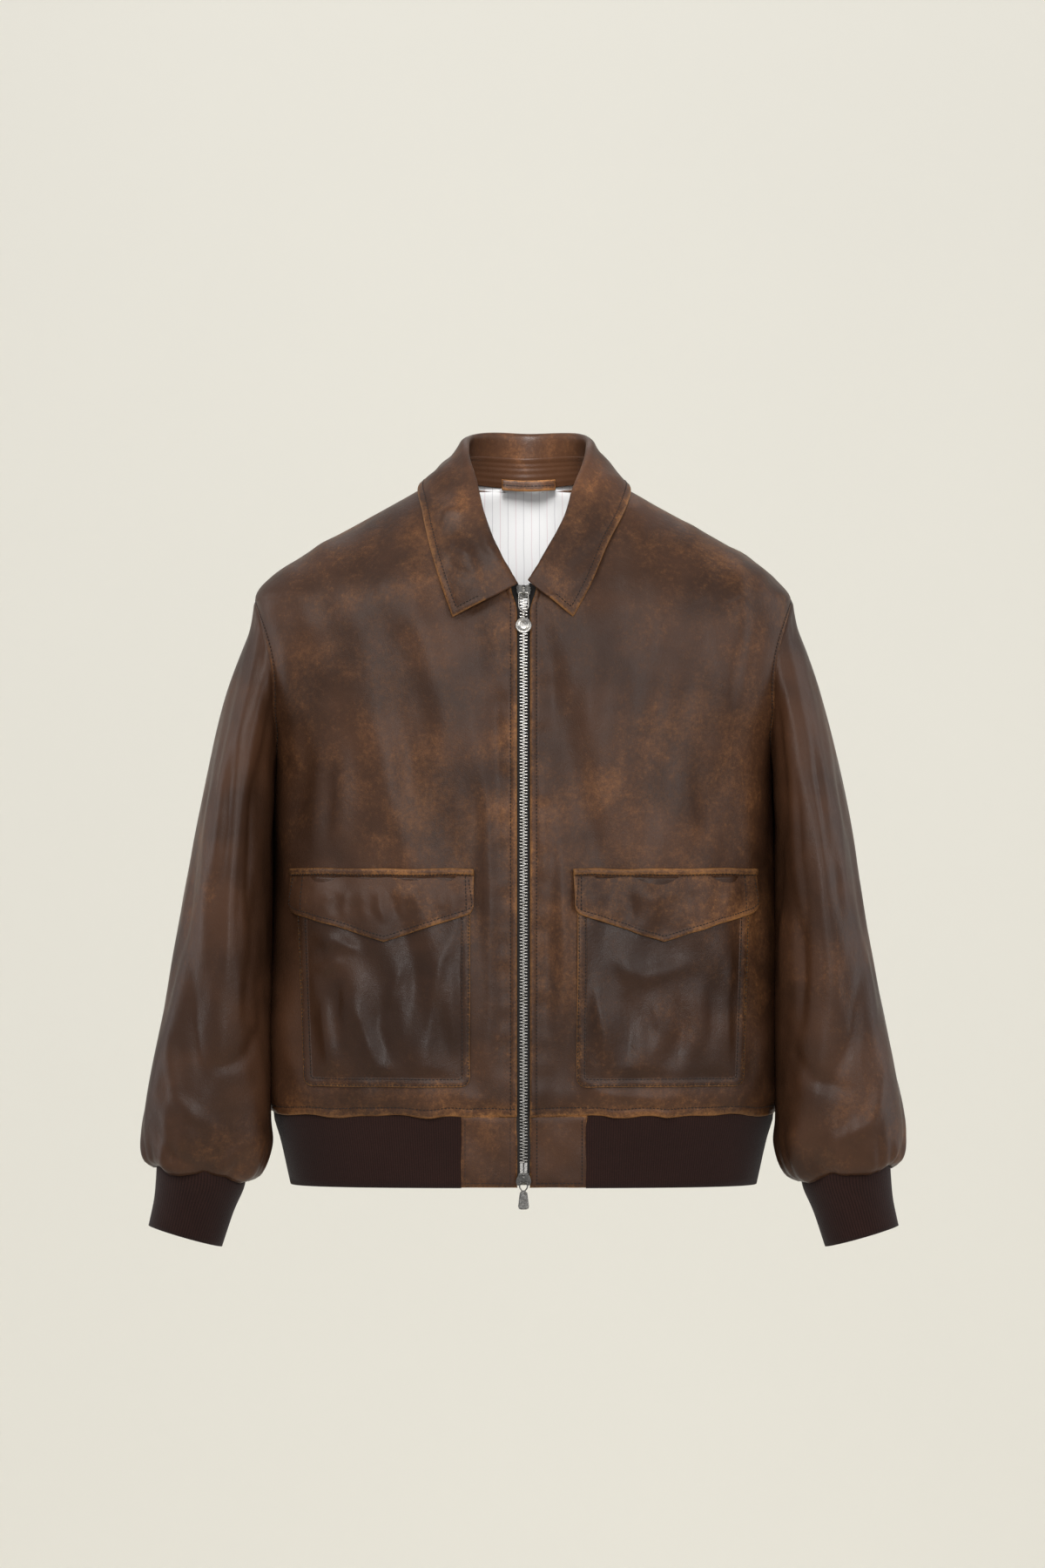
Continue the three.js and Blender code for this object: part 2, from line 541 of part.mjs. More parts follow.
function sliderGeometry() {
  const half = SLIDER.width / 2;
  const narrow = SLIDER.narrow / 2;
  const plate = outline([
    [-half + 2, 0], [half - 2, 0], [half, -2], [half, -6], [narrow, -SLIDER.length + 1.5],
    [narrow - 1.5, -SLIDER.length], [-narrow + 1.5, -SLIDER.length], [-narrow, -SLIDER.length + 1.5],
    [-half, -6], [-half, -2],
  ]);
  const frontPlate = flatPiece(plate, SLIDER.plate).translate(0, SLIDER.front - SLIDER.plate / 2, 0);
  const backPlate = flatPiece(plate, SLIDER.plate).translate(0, SLIDER.back + SLIDER.plate / 2, 0);
  const postDepth = SLIDER.back - SLIDER.front + 2;
  const post = box(SLIDER.post, postDepth, 2.8, 0, (SLIDER.front + SLIDER.back) / 2, -1.6);
  const face = SLIDER.front - SLIDER.plate;
  const bridge = outline([
    [face + 0.4, -BRIDGE.near + BRIDGE.bar], [face - BRIDGE.reach + 1, -BRIDGE.near + BRIDGE.bar],
    [face - BRIDGE.reach, -BRIDGE.near], [face - BRIDGE.reach, -BRIDGE.far],
    [face - BRIDGE.reach + 1, -BRIDGE.far - BRIDGE.bar], [face + 0.4, -BRIDGE.far - BRIDGE.bar],
    [face + 0.4, -BRIDGE.far], [face - BRIDGE.reach + BRIDGE.bar, -BRIDGE.far],
    [face - BRIDGE.reach + BRIDGE.bar, -BRIDGE.near], [face + 0.4, -BRIDGE.near],
  ]);
  const arch = new THREE.ExtrudeGeometry(bridge, { depth: SLIDER.bridge, bevelEnabled: false })
    .translate(0, 0, -SLIDER.bridge / 2)
    .applyMatrix4(new THREE.Matrix4().makeBasis(vec(0, 1, 0), vec(0, 0, 1), vec(1, 0, 0)));
  return joined([frontPlate, backPlate, post, arch]);
}

// The frame of a slider: at a height on the front edge, leaning with it. A flipped one points down.
const leanOver = (high, low) => Math.atan2(FRONT_Y(high) - FRONT_Y(low), high - low);

function sliderFrame(z, length, flipped) {
  const lean = flipped ? leanOver(z + length, z) : leanOver(z, z - length);
  return new THREE.Matrix4().makeTranslation(0, FRONT_Y(z), z)
    .multiply(new THREE.Matrix4().makeRotationX(-lean))
    .multiply(new THREE.Matrix4().makeRotationZ(flipped ? Math.PI : 0))
    .multiply(new THREE.Matrix4().makeRotationX(flipped ? Math.PI : 0));
}

const BOTTOM_SLIDER_Z = -652.5;
const topFrame = sliderFrame(ZIP_TOP_Z, SLIDER.length, false);
const bottomFrame = sliderFrame(BOTTOM_SLIDER_Z, SLIDER.length, true);
add('slider_top', sliderGeometry().applyMatrix4(topFrame), MATERIALS.metal);
add('slider_bottom', sliderGeometry().applyMatrix4(bottomFrame), MATERIALS.metal);

// Both pulls hang from a bar through the slider's bridge. Their frame has that bar's middle as origin.
const WIRE = 1.3;

function linkShape(width, height, point) {
  const half = width / 2;
  const ring = (w, top, low) => [
    [-w + 1, top], [w - 1, top], [w, top - 1.4], [w, low + point], [w * 0.4, low], [-w * 0.4, low],
    [-w, low + point], [-w, top - 1.4],
  ];
  const shape = outline(ring(half, WIRE / 2, -height));
  shape.holes.push(outline(ring(half - WIRE, -WIRE / 2, -height + WIRE).reverse()));
  return shape;
}

const disc = (radius, thick, z) =>
  new THREE.CylinderGeometry(radius, radius, thick, 28).translate(0, 0, z);

const TOP_PULL = { width: 10, height: 18, neck: 5.6, medallion: 7.7 };
function topPull() {
  const link = flatPiece(linkShape(TOP_PULL.width, TOP_PULL.height, 4), WIRE);
  const neck = box(3, 1.8, TOP_PULL.neck + 1.6, 0, 0, -TOP_PULL.height - TOP_PULL.neck / 2);
  const z = -TOP_PULL.height - TOP_PULL.neck - TOP_PULL.medallion;
  return joined([link, neck, disc(TOP_PULL.medallion, 1.8, z), disc(6.2, 2.4, z), disc(4, 3, z)]);
}

function bottomPull() {
  const link = flatPiece(linkShape(8.4, 8, 3.4), WIRE);
  const tab = flatPiece(outline([
    [-1.6, -7.4], [1.6, -7.4], [3.7, -10.4], [5.1, -24], [4.2, -25.5], [-4.2, -25.5], [-5.1, -24],
    [-3.7, -10.4],
  ]), 2);
  return joined([link, tab]);
}

// A bar rests at the low end of its bridge. The top pull lies along the front, the bottom one hangs.
const barY = SLIDER.front - SLIDER.plate - 1.25;
const topPivot = vec(0, barY, -BRIDGE.far + WIRE / 2 + 0.45).applyMatrix4(topFrame);
const bottomPivot = vec(0, barY, -BRIDGE.near - WIRE / 2 - 0.45).applyMatrix4(bottomFrame);
const hung = (geometry, pivot, lean) =>
  geometry.rotateX(-lean).translate(pivot.x, pivot.y, pivot.z);
add('pull_top', hung(topPull(), topPivot, leanOver(-94, -130)), MATERIALS.metal);
add('pull_bottom', hung(bottomPull(), bottomPivot, 0), MATERIALS.metal);

export default jacket;
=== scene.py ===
"""A filled-out leather flight jacket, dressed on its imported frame.

Sizes are in millimetres until a mesh is made.
"""
import json
import math
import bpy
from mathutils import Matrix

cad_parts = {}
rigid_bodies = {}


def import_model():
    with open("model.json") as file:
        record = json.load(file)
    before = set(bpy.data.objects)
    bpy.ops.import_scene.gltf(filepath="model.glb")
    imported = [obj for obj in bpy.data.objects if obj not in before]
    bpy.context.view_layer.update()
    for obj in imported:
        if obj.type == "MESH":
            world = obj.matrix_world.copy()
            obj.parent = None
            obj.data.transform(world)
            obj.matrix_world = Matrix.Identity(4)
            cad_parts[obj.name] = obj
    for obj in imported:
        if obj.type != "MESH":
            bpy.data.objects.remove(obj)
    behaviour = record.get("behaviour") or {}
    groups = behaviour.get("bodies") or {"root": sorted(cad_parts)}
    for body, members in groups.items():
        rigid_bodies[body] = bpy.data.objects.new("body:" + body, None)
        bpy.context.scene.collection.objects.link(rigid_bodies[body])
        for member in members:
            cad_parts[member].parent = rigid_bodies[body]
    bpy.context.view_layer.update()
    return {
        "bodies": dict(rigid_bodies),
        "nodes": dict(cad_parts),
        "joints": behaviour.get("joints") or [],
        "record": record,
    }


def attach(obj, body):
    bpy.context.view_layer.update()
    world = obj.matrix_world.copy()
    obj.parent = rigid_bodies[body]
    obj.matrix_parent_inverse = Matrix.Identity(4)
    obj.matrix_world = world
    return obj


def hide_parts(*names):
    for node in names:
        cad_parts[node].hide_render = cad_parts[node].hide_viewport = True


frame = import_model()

from types import SimpleNamespace

import bpy
import numpy as np
from mathutils import Matrix, Vector

bl_info = {
    "name": "Leather Flight Jacket",
    "version": (1, 0, 0),
    "blender": (4, 5, 0),
    "location": "View3D > Sidebar > Jacket",
    "description": "Builds a worn leather flight jacket piece by piece",
    "category": "Object",
}

MM = 0.001
BODY = "jacket"
SIDES = {"left": 1, "right": -1}  # the wearer's left is +X


# ---- Sizes and colours -------------------------------------------------------------------------
def size_property(label, text, millimetres):
    return bpy.props.FloatProperty(
        name=label, description=text, default=millimetres * MM, min=0.0, precision=5, unit="LENGTH"
    )


def colour_property(label, text, default):
    return bpy.props.FloatVectorProperty(
        name=label, description=text, default=default, size=3, subtype="COLOR", min=0.0, max=1.0
    )


class JacketSizes(bpy.types.PropertyGroup):
    """Sizes of the cloth, thread and zip"""

    leather: size_property("Leather", "Thickness of the shell leather", 1.6)
    collar_leather: size_property("Collar", "Thickness of the two-layer collar", 2.2)
    grid: size_property("Mesh spacing", "Distance between the points of a panel's mesh", 3.2)
    stitch: size_property("Stitch length", "Length of one topstitch with its gap", 3.4)
    thread: size_property("Thread", "Diameter of the topstitching thread", 0.85)
    hem_rib: size_property("Hem rib pitch", "Distance between the ribs of the hem", 2.3)
    cuff_rib: size_property("Cuff rib pitch", "Distance between the ribs of a cuff", 2.9)
    tooth_pitch: size_property("Tooth pitch", "Distance between the zip's teeth on one side", 3.0)


class JacketColours(bpy.types.PropertyGroup):
    """Colours of the finishes"""

    dark: colour_property("Leather", "The leather's own dark brown", (0.076, 0.0325, 0.0155))
    brown: colour_property("Mottling", "The leather where its finish is thinner", (0.245, 0.101, 0.037))
    amber: colour_property("Rubbed leather", "The leather along rubbed edges", (0.38, 0.170, 0.052))
    rib: colour_property("Rib", "The knitted hem and cuffs", (0.029, 0.0120, 0.0092))
    lining: colour_property("Lining", "The lining's ground", (0.88, 0.87, 0.86))
    thread: colour_property("Thread", "The topstitching", (0.020, 0.010, 0.006))
    metal: colour_property("Metal", "The zip's nickel plate", (0.52, 0.50, 0.465))
    backdrop: colour_property("Backdrop", "The floor and the wall behind", (0.875, 0.845, 0.755))


def sizes():
    """The chosen sizes, in millimetres."""
    chosen = bpy.context.scene.jacket_sizes
    keys = JacketSizes.__annotations__
    return SimpleNamespace(**{key: round(getattr(chosen, key) / MM, 4) for key in keys})


def colours():
    return bpy.context.scene.jacket_colours


# ---- Smooth curves -----------------------------------------------------------------------------
def smooth(knots):
    """A function through (position, value) knots, as cubic pieces with averaged slopes."""
    table = np.array(sorted(knots), float)
    at, value = table[:, 0], table[:, 1]
    rise = np.diff(value) / np.diff(at)
    before, after = np.r_[rise[0], rise], np.r_[rise, rise[-1]]
    both = before + after
    slope = np.where(before * after <= 0, 0.0, 2 * before * after / np.where(both, both, 1))

    def curve(where):
        where = np.clip(np.asarray(where, float), at[0], at[-1])
        i = np.clip(np.searchsorted(at, where, side="right") - 1, 0, len(at) - 2)
        width = at[i + 1] - at[i]
        t = (where - at[i]) / width
        h = t * t * (3 - 2 * t)
        lean = t * (1 - t) * width * (slope[i] * (1 - t) - slope[i + 1] * t)
        return value[i] * (1 - h) + value[i + 1] * h + lean

    return curve


def smoothstep(low, high, value):
    t = np.clip((np.asarray(value, float) - low) / (high - low), 0, 1)
    return t * t * (3 - 2 * t)


def bump(distance, width):
    """A soft bell, 1 at distance 0."""
    return np.exp(-((np.asarray(distance, float) / width) ** 2))


def spline(points, count):
    """Points along a centripetal curve through the given ones, evenly spaced in its parameter."""
    p = np.asarray(points, float)
    p = np.vstack([2 * p[0] - p[1], p, 2 * p[-1] - p[-2]])
    u = np.linspace(0, len(points) - 1, count)
    i = np.clip(u.astype(int), 0, len(points) - 2)
    t = (u - i)[:, None]
    a, b, c, d = p[i], p[i + 1], p[i + 2], p[i + 3]
    return 0.5 * (2 * b + (c - a) * t + (2 * a - 5 * b + 4 * c - d) * t**2 + (3 * b - a - 3 * c + d) * t**3)


def length_along(points):
    """The running length along a line of points."""
    return np.r_[0, np.cumsum(np.linalg.norm(np.diff(points, axis=0), axis=1))]


def evenly(points, spacing=None, count=None):
    """The same line with points an equal distance apart."""
    p = np.asarray(points, float)
    length = length_along(p)
    count = count or max(2, int(round(length[-1] / spacing)) + 1)
    at = np.linspace(0, length[-1], count)
    return np.stack([np.interp(at, length, p[:, k]) for k in range(p.shape[1])], 1)


class Drape:
    """Slow, seeded undulations over a flat pattern: waves with given lengths across and down."""

    def __init__(self, seed, across, down, height, waves=9):
        rng = np.random.default_rng(seed)
        self.k = np.stack(
            [
                2 * np.pi / (across * rng.uniform(0.7, 1.6, waves)) * rng.choice([-1, 1], waves),
                2 * np.pi / (down * rng.uniform(0.7, 1.8, waves)),
            ],
            1,
        )
        self.phase = rng.uniform(0, 2 * np.pi, waves)
        self.height = height / math.sqrt(waves)

    def __call__(self, u, v):
        total = sum(np.sin(k[0] * u + k[1] * v + p) for k, p in zip(self.k, self.phase))
        return self.height * total


def crease(u, v, path, width, height):
    """A soft ridge (height > 0) or trough along a path over a pattern, fading towards its ends."""
    path = np.asarray(path, float)
    nearest = np.full(np.shape(u), 1e9)
    along = np.zeros(np.shape(u))
    steps = length_along(path)
    for i in range(len(path) - 1):
        step = path[i + 1] - path[i]
        t = np.clip(((u - path[i, 0]) * step[0] + (v - path[i, 1]) * step[1]) / (step @ step), 0, 1)
        gap = np.hypot(u - path[i, 0] - t * step[0], v - path[i, 1] - t * step[1])
        closer = gap < nearest
        nearest = np.where(closer, gap, nearest)
        along = np.where(closer, (steps[i] + t * (steps[i + 1] - steps[i])) / steps[-1], along)
    fading = 0.35  # share of the path over which each end fades
    fade = smoothstep(0, fading, along) * smoothstep(0, fading, 1 - along)
    return height * fade * bump(nearest, width)


def with_folds(height, u, v, folds, share=1.0):
    """The height with folds added, each a path over the pattern with its width and height."""
    for path, width, tall in folds:
        height = height + crease(u, v, path, width, tall * share)
    return height


def unit(v):
    """Vectors made one long."""
    return v / np.maximum(np.linalg.norm(v, axis=-1, keepdims=True), 1e-9)


# ---- Meshes ------------------------------------------------------------------------------------
def grid_normals(grid, wrapped=False):
    """Outward unit normals of a grid of points whose rows run down the cloth."""
    if wrapped:
        across = np.roll(grid, -1, 1) - np.roll(grid, 1, 1)
    else:
        across = np.gradient(grid, axis=1)
    normal = np.cross(np.gradient(grid, axis=0), across)
    return normal / np.maximum(np.linalg.norm(normal, axis=2, keepdims=True), 1e-9)


def add_object(name, points, faces, material, attributes=None, smooth_faces=True):
    """A mesh object from millimetre points, with float attributes on its points."""
    mesh = bpy.data.meshes.new(name)
    mesh.from_pydata((np.asarray(points) * MM).tolist(), [], faces)
    for key, values in (attributes or {}).items():
        layer = mesh.attributes.new(key, "FLOAT", "POINT")
        layer.data.foreach_set("value", np.asarray(values, np.float32).ravel())
    mesh.polygons.foreach_set("use_smooth", [smooth_faces] * len(mesh.polygons))
    mesh.materials.append(material)
    mesh.update()
    piece = bpy.data.objects.new(name, mesh)
    bpy.context.scene.collection.objects.link(piece)
    return piece


def shell_faces(rows, columns, wrapped=False):
    """Faces of a closed wall between an outer grid of points and an inner one, in that order."""
    span = columns if wrapped else columns - 1
    i, j = np.meshgrid(np.arange(rows - 1), np.arange(span), indexing="ij")
    k = (j + 1) % columns
    a, b, c, d = i * columns + j, (i + 1) * columns + j, (i + 1) * columns + k, i * columns + k
    outer = np.stack([a, b, c, d], -1).reshape(-1, 4)
    size = rows * columns
    inner = outer[:, ::-1] + size
    j = np.arange(span)
    k = (j + 1) % columns
    last = (rows - 1) * columns
    top = np.stack([j, k, k + size, j + size], -1)
    low = np.stack([last + j, last + j + size, last + k + size, last + k], -1)
    rims = [top, low]
    if not wrapped:
        i = np.arange(rows - 1) * columns
        rims.append(np.stack([i, i + size, i + columns + size, i + columns], -1))
        i = i + columns - 1
        rims.append(np.stack([i, i + columns, i + columns + size, i + size], -1))
    return np.vstack([outer, inner, *rims]).tolist()


def running_lengths(grid):
    """Lengths over the cloth: along every row, and down every column."""
    across, down = np.zeros(grid.shape[:2]), np.zeros(grid.shape[:2])
    across[:, 1:] = np.cumsum(np.linalg.norm(np.diff(grid, axis=1), axis=2), axis=1)
    down[1:] = np.cumsum(np.linalg.norm(np.diff(grid, axis=0), axis=2), axis=0)
    return across, down


def edge_distance(grid, wrapped=False):
    """Distance of every point of a grid from its nearest free edge, measured over the cloth."""
    across, down = running_lengths(grid)
    nearest = np.minimum(down, down[-1] - down)
    if not wrapped:
        nearest = np.minimum(nearest, np.minimum(across, across[:, -1:] - across))
    return nearest


def add_shell(
    name, outer, thickness, material, wrapped=False, wear=0.0, extra=None, edge=None
):
    """A thin shell whose outer face is the grid. Its wear grows towards its edges."""
    inner = outer - grid_normals(outer, wrapped) * thickness
    rows, columns = outer.shape[:2]
    near = edge_distance(outer, wrapped) if edge is None else edge
    # the rims are rounded: the outermost line of the outer face sinks a little
    outer = outer - grid_normals(outer, wrapped) * (0.35 * thickness * bump(near, 0.6))[..., None]
    rubbed = np.clip(wear + 0.72 * np.exp(-near / 1.4) + 0.28 * np.exp(-near / 11), -0.3, 1.3)
    attributes = {"wear": np.concatenate([rubbed.ravel(), (0 * rubbed - 0.4).ravel()])}
    for key, values in (extra or {}).items():
        attributes[key] = np.concatenate([np.ravel(values), np.ravel(values)])
    points = np.concatenate([outer.reshape(-1, 3), inner.reshape(-1, 3)])
    return add_object(name, points, shell_faces(rows, columns, wrapped), material, attributes)


def ride(piece, *nodes):
    if nodes:
        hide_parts(*nodes)
    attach(piece, BODY)


class Surface:
    """A finished grid of cloth that other pieces and stitches lie on, looked up in front view by x and z."""

    def __init__(self, grid):
        self.grid = grid
        self.normals = grid_normals(grid)
        self.heights = grid[:, 0, 2]

    def at(self, x, z, out=0.0):
        x, z = np.broadcast_arrays(np.asarray(x, float), np.asarray(z, float))
        shape = x.shape
        row = np.interp(-z.ravel(), -self.heights, np.arange(len(self.heights)))
        low = np.clip(row.astype(int), 0, len(self.heights) - 2)
        share = row - low
        sign = 1 if self.grid[-1, -1, 0] > self.grid[-1, 0, 0] else -1
        found, normal = np.zeros((x.size, 3)), np.zeros((x.size, 3))
        for k, (i, s, at_x) in enumerate(zip(low, share, x.ravel())):
            for line, weight in ((i, 1 - s), (i + 1, s)):
                along = self.grid[line, :, 0] * sign
                column = np.interp(at_x * sign, along, np.arange(len(along)))
                j = min(int(column), len(along) - 2)
                t = column - j
                found[k] += weight * (self.grid[line, j] * (1 - t) + self.grid[line, j + 1] * t)
                normal[k] += weight * (self.normals[line, j] * (1 - t) + self.normals[line, j + 1] * t)
        normal /= np.linalg.norm(normal, axis=1, keepdims=True)
        return (found + normal * np.reshape(np.broadcast_to(out, shape), (-1, 1))).reshape(*shape, 3)


SURFACES = {}
SEAMS = {}


# ---- Stitches ----------------------------------------------------------------------------------
def stitch_mesh(line, normals, length, diameter):
    """Points and faces of short thread arcs along a line, each dipping into the cloth at its ends."""
    gap = 0.24
    total = length_along(line)
    count = max(1, int(total[-1] / length))
    starts = np.arange(count) * total[-1] / count
    span = total[-1] / count * (1 - gap)
    stations = np.array([0.0, 0.22, 0.78, 1.0])
    thick = np.array([0.35, 1.0, 1.0, 0.35]) * diameter / 2
    lift = np.array([-0.22, 0.17, 0.17, -0.22]) * diameter
    at = starts[:, None] + stations * span
    centre = np.stack([np.interp(at, total, line[:, k]) for k in range(3)], -1)
    normal = np.stack([np.interp(at, total, normals[:, k]) for k in range(3)], -1)
    normal /= np.linalg.norm(normal, axis=-1, keepdims=True)
    tangent = centre[:, -1:] - centre[:, :1]
    tangent = tangent / np.maximum(np.linalg.norm(tangent, axis=-1, keepdims=True), 1e-9)
    side = np.cross(np.broadcast_to(tangent, normal.shape), normal)
    centre = centre + normal * lift[:, None]
    angles = np.arange(6) * np.pi / 3
    ring = (
        centre[:, :, None]
        + thick[:, None, None] * np.cos(angles)[:, None] * side[:, :, None]
        + thick[:, None, None] * np.sin(angles)[:, None] * normal[:, :, None]
    )
    points = ring.reshape(-1, 3)
    one = []
    for i in range(len(stations) - 1):
        for j in range(6):
            k = (j + 1) % 6
            one.append([i * 6 + j, i * 6 + k, (i + 1) * 6 + k, (i + 1) * 6 + j])
    one += [[5, 4, 3, 0], [3, 2, 1, 0], [18, 19, 20, 21], [18, 21, 22, 23]]
    faces = (np.array(one)[None] + (np.arange(count) * 24)[:, None, None]).reshape(-1, 4)
    return points, faces


def add_stitches(name, lines, material):
    """One object of thread from (points, normals) lines that lie on finished cloth."""
    points, faces, base = [], [], 0
    for line, normals in lines:
        p, f = stitch_mesh(np.asarray(line), np.asarray(normals), sizes().stitch, sizes().thread)
        points.append(p)
        faces.append(f + base)
        base += len(p)
    piece = add_object(name, np.vstack(points), np.vstack(faces).tolist(), material)
    ride(piece)
    return piece


def line_on(surface, x, z, out=0.0):
    """A stitch line and its normals over a surface, through front-view points."""
    path = evenly(np.stack(np.broadcast_arrays(np.asarray(x, float), np.asarray(z, float)), 1), 2.5)
    low = surface.at(path[:, 0], path[:, 1], out)
    high = surface.at(path[:, 0], path[:, 1], out + 1.0)
    return low, high - low


# ---- Materials ---------------------------------------------------------------------------------
class Nodes:
    """Builds a material's node tree with short calls."""

    def __init__(self, name):
        self.material = bpy.data.materials.new(name)
        self.material.use_nodes = True
        self.tree = self.material.node_tree
        self.shader = self.tree.nodes["Principled BSDF"]
        self.place = self.add("ShaderNodeTexCoord").outputs["Object"]

    def add(self, kind, **settings):
        node = self.tree.nodes.new(kind)
        for key, value in settings.items():
            setattr(node, key, value)
        return node

    def put(self, socket, value):
        if isinstance(value, bpy.types.NodeSocket):
            self.tree.links.new(value, socket)
        else:
            socket.default_value = value

    def noise(self, scale, detail=4.0, rough=0.55, stretch=(1, 1, 1), distortion=0.0):
        node = self.add("ShaderNodeTexNoise")
        self.put(node.inputs["Vector"], self.mapped(stretch))
        settings = (("Scale", scale), ("Detail", detail), ("Roughness", rough), ("Distortion", distortion))
        for key, value in settings:
            node.inputs[key].default_value = value
        return node.outputs["Fac"]

    def voronoi(self, scale, feature):
        node = self.add("ShaderNodeTexVoronoi", feature=feature)
        self.put(node.inputs["Vector"], self.place)
        node.inputs["Scale"].default_value = scale
        return node.outputs["Distance"]

    def mapped(self, stretch):
        if tuple(stretch) == (1, 1, 1):
            return self.place
        node = self.add("ShaderNodeMapping")
        self.put(node.inputs["Vector"], self.place)
        node.inputs["Scale"].default_value = stretch
        return node.outputs["Vector"]

    def attribute(self, name):
        return self.add("ShaderNodeAttribute", attribute_name=name).outputs["Fac"]

    def math(self, operation, a, b=0.0, clamp=False):
        node = self.add("ShaderNodeMath", operation=operation, use_clamp=clamp)
        self.put(node.inputs[0], a)
        self.put(node.inputs[1], b)
        return node.outputs[0]

    def sum(self, *terms):
        """The sum of (socket, weight) terms and plain numbers."""
        total = 0.0
        for term in terms:
            value = self.math("MULTIPLY", *term) if isinstance(term, tuple) else term
            total = self.math("ADD", total, value)
        return total

    def ramp(self, value, low, high, to_low=0.0, to_high=1.0):
        node = self.add("ShaderNodeMapRange", interpolation_type="SMOOTHSTEP")
        self.put(node.inputs["Value"], value)
        for key, number in (("From Min", low), ("From Max", high), ("To Min", to_low), ("To Max", to_high)):
            node.inputs[key].default_value = number
        return node.outputs["Result"]

    def mix(self, share, a, b):
        node = self.add("ShaderNodeMix", data_type="RGBA")
        self.put(node.inputs[0], share)
        self.put(node.inputs[6], (*a, 1) if isinstance(a, tuple) else a)
        self.put(node.inputs[7], (*b, 1) if isinstance(b, tuple) else b)
        return node.outputs[2]

    def shaded(self, colour, value):
        """The colour multiplied by a grey value."""
        node = self.add("ShaderNodeMix", data_type="RGBA", blend_type="MULTIPLY")
        self.put(node.inputs[0], 1.0)
        self.put(node.inputs[6], (*colour, 1) if isinstance(colour, tuple) else colour)
        grey = self.add("ShaderNodeCombineColor")
        for channel in ("Red", "Green", "Blue"):
            self.put(grey.inputs[channel], value)
        self.put(node.inputs[7], grey.outputs[0])
        return node.outputs[2]

    def relief(self, height, distance, strength=1.0, normal=None):
        node = self.add("ShaderNodeBump")
        self.put(node.inputs["Height"], height)
        node.inputs["Distance"].default_value = distance
        node.inputs["Strength"].default_value = strength
        if normal:
            self.put(node.inputs["Normal"], normal)
        return node.outputs["Normal"]

    def finish(self, colour, roughness, normal=None, **fixed):
        self.put(self.shader.inputs["Base Color"], (*colour, 1) if isinstance(colour, tuple) else colour)
        self.put(self.shader.inputs["Roughness"], roughness)
        if normal:
            self.put(self.shader.inputs["Normal"], normal)
        for key, value in fixed.items():
            self.shader.inputs[key.replace("_", " ")].default_value = value
        return self.material


def leather(name, thin_finish=0.0, gloss=0.0, dark=1.0):
    """Aged leather: a dark finish rubbed through to brown in clouds and to amber where it wears most."""
    n = Nodes(name)
    palette = colours()
    clouds = n.noise(6.5, 5, 0.62, (1, 1, 0.75), 0.6)
    patches = n.noise(26, 7, 0.66, (1, 1, 0.8), 0.4)
    flecks = n.noise(230, 6, 0.72)
    specks = n.noise(760, 4, 0.66)
    wear = n.attribute("wear")
    ground = tuple(c * dark for c in palette.dark)
    worn = tuple(c * (0.6 + 0.4 * dark) for c in palette.brown)
    rubbed = n.sum(
        (clouds, 1.5), (patches, 1.1), (flecks, 0.9), (specks, 0.5), (wear, 0.35), -2.005 + thin_finish
    )
    colour = n.mix(n.ramp(rubbed, -0.12, 0.72), ground, worn)
    thin = n.sum(
        (patches, 0.9), (flecks, 1.3), (specks, 0.9), (clouds, 0.5), -1.975 + thin_finish, (wear, 0.9)
    )
    colour = n.mix(n.math("MULTIPLY", n.ramp(thin, 0.06, 0.95), 0.85), colour, tuple(palette.amber))
    deep = n.ramp(n.noise(11, 4, 0.5, (1, 1, 1.3)), 0.35, 0.68, 0.62, 1.1)
    colour = n.shaded(colour, deep)
    grain = n.voronoi(1150, "SMOOTH_F1")
    pores = n.noise(1900, 3, 0.6)
    wrinkles = n.noise(170, 5, 0.62, (1, 1, 0.7), 0.8)
    soft = n.noise(42, 3, 0.5, (1, 1, 0.6))
    normal = n.relief(soft, 0.0011, 0.5)
    normal = n.relief(wrinkles, 0.00042, 0.7, normal)
    normal = n.relief(n.sum((grain, 0.8), (pores, 0.45)), 0.00016, 0.8, normal)
    roughness = n.sum((patches, 0.22), (flecks, 0.16), (specks, 0.10), (wear, 0.10), 0.20 - gloss)
    return n.finish(colour, roughness, normal, Specular_IOR_Level=0.30)


def rib_knit():
    """Fine wool rib: each wale has the small chevrons of its stitches, and a slight fuzz."""
    n = Nodes("rib_knit")
    yarn = n.noise(2600, 3, 0.6, (1, 1, 0.35))
    loops = n.noise(1250, 2, 0.5, (1, 1, 1.6))
    tone = n.ramp(n.sum((n.noise(9, 4), 0.5), (loops, 0.5)), 0.3, 0.75)
    rib = tuple(colours().rib)
    valley_shade = n.attribute("valley_shade")
    colour = n.mix(tone, tuple(c * 0.75 for c in rib), tuple(c * 1.35 for c in rib))
    # the valleys between the ribs are darkened with painted shade
    colour = n.mix(n.math("MULTIPLY", valley_shade, 0.75), colour, tuple(c * 0.22 for c in rib))
    normal = n.relief(n.sum((yarn, 0.6), (loops, 0.8)), 0.00035, 0.8)
    return n.finish(colour, 0.92, normal, Sheen_Weight=0.10, Sheen_Roughness=0.5, Specular_IOR_Level=0.15)


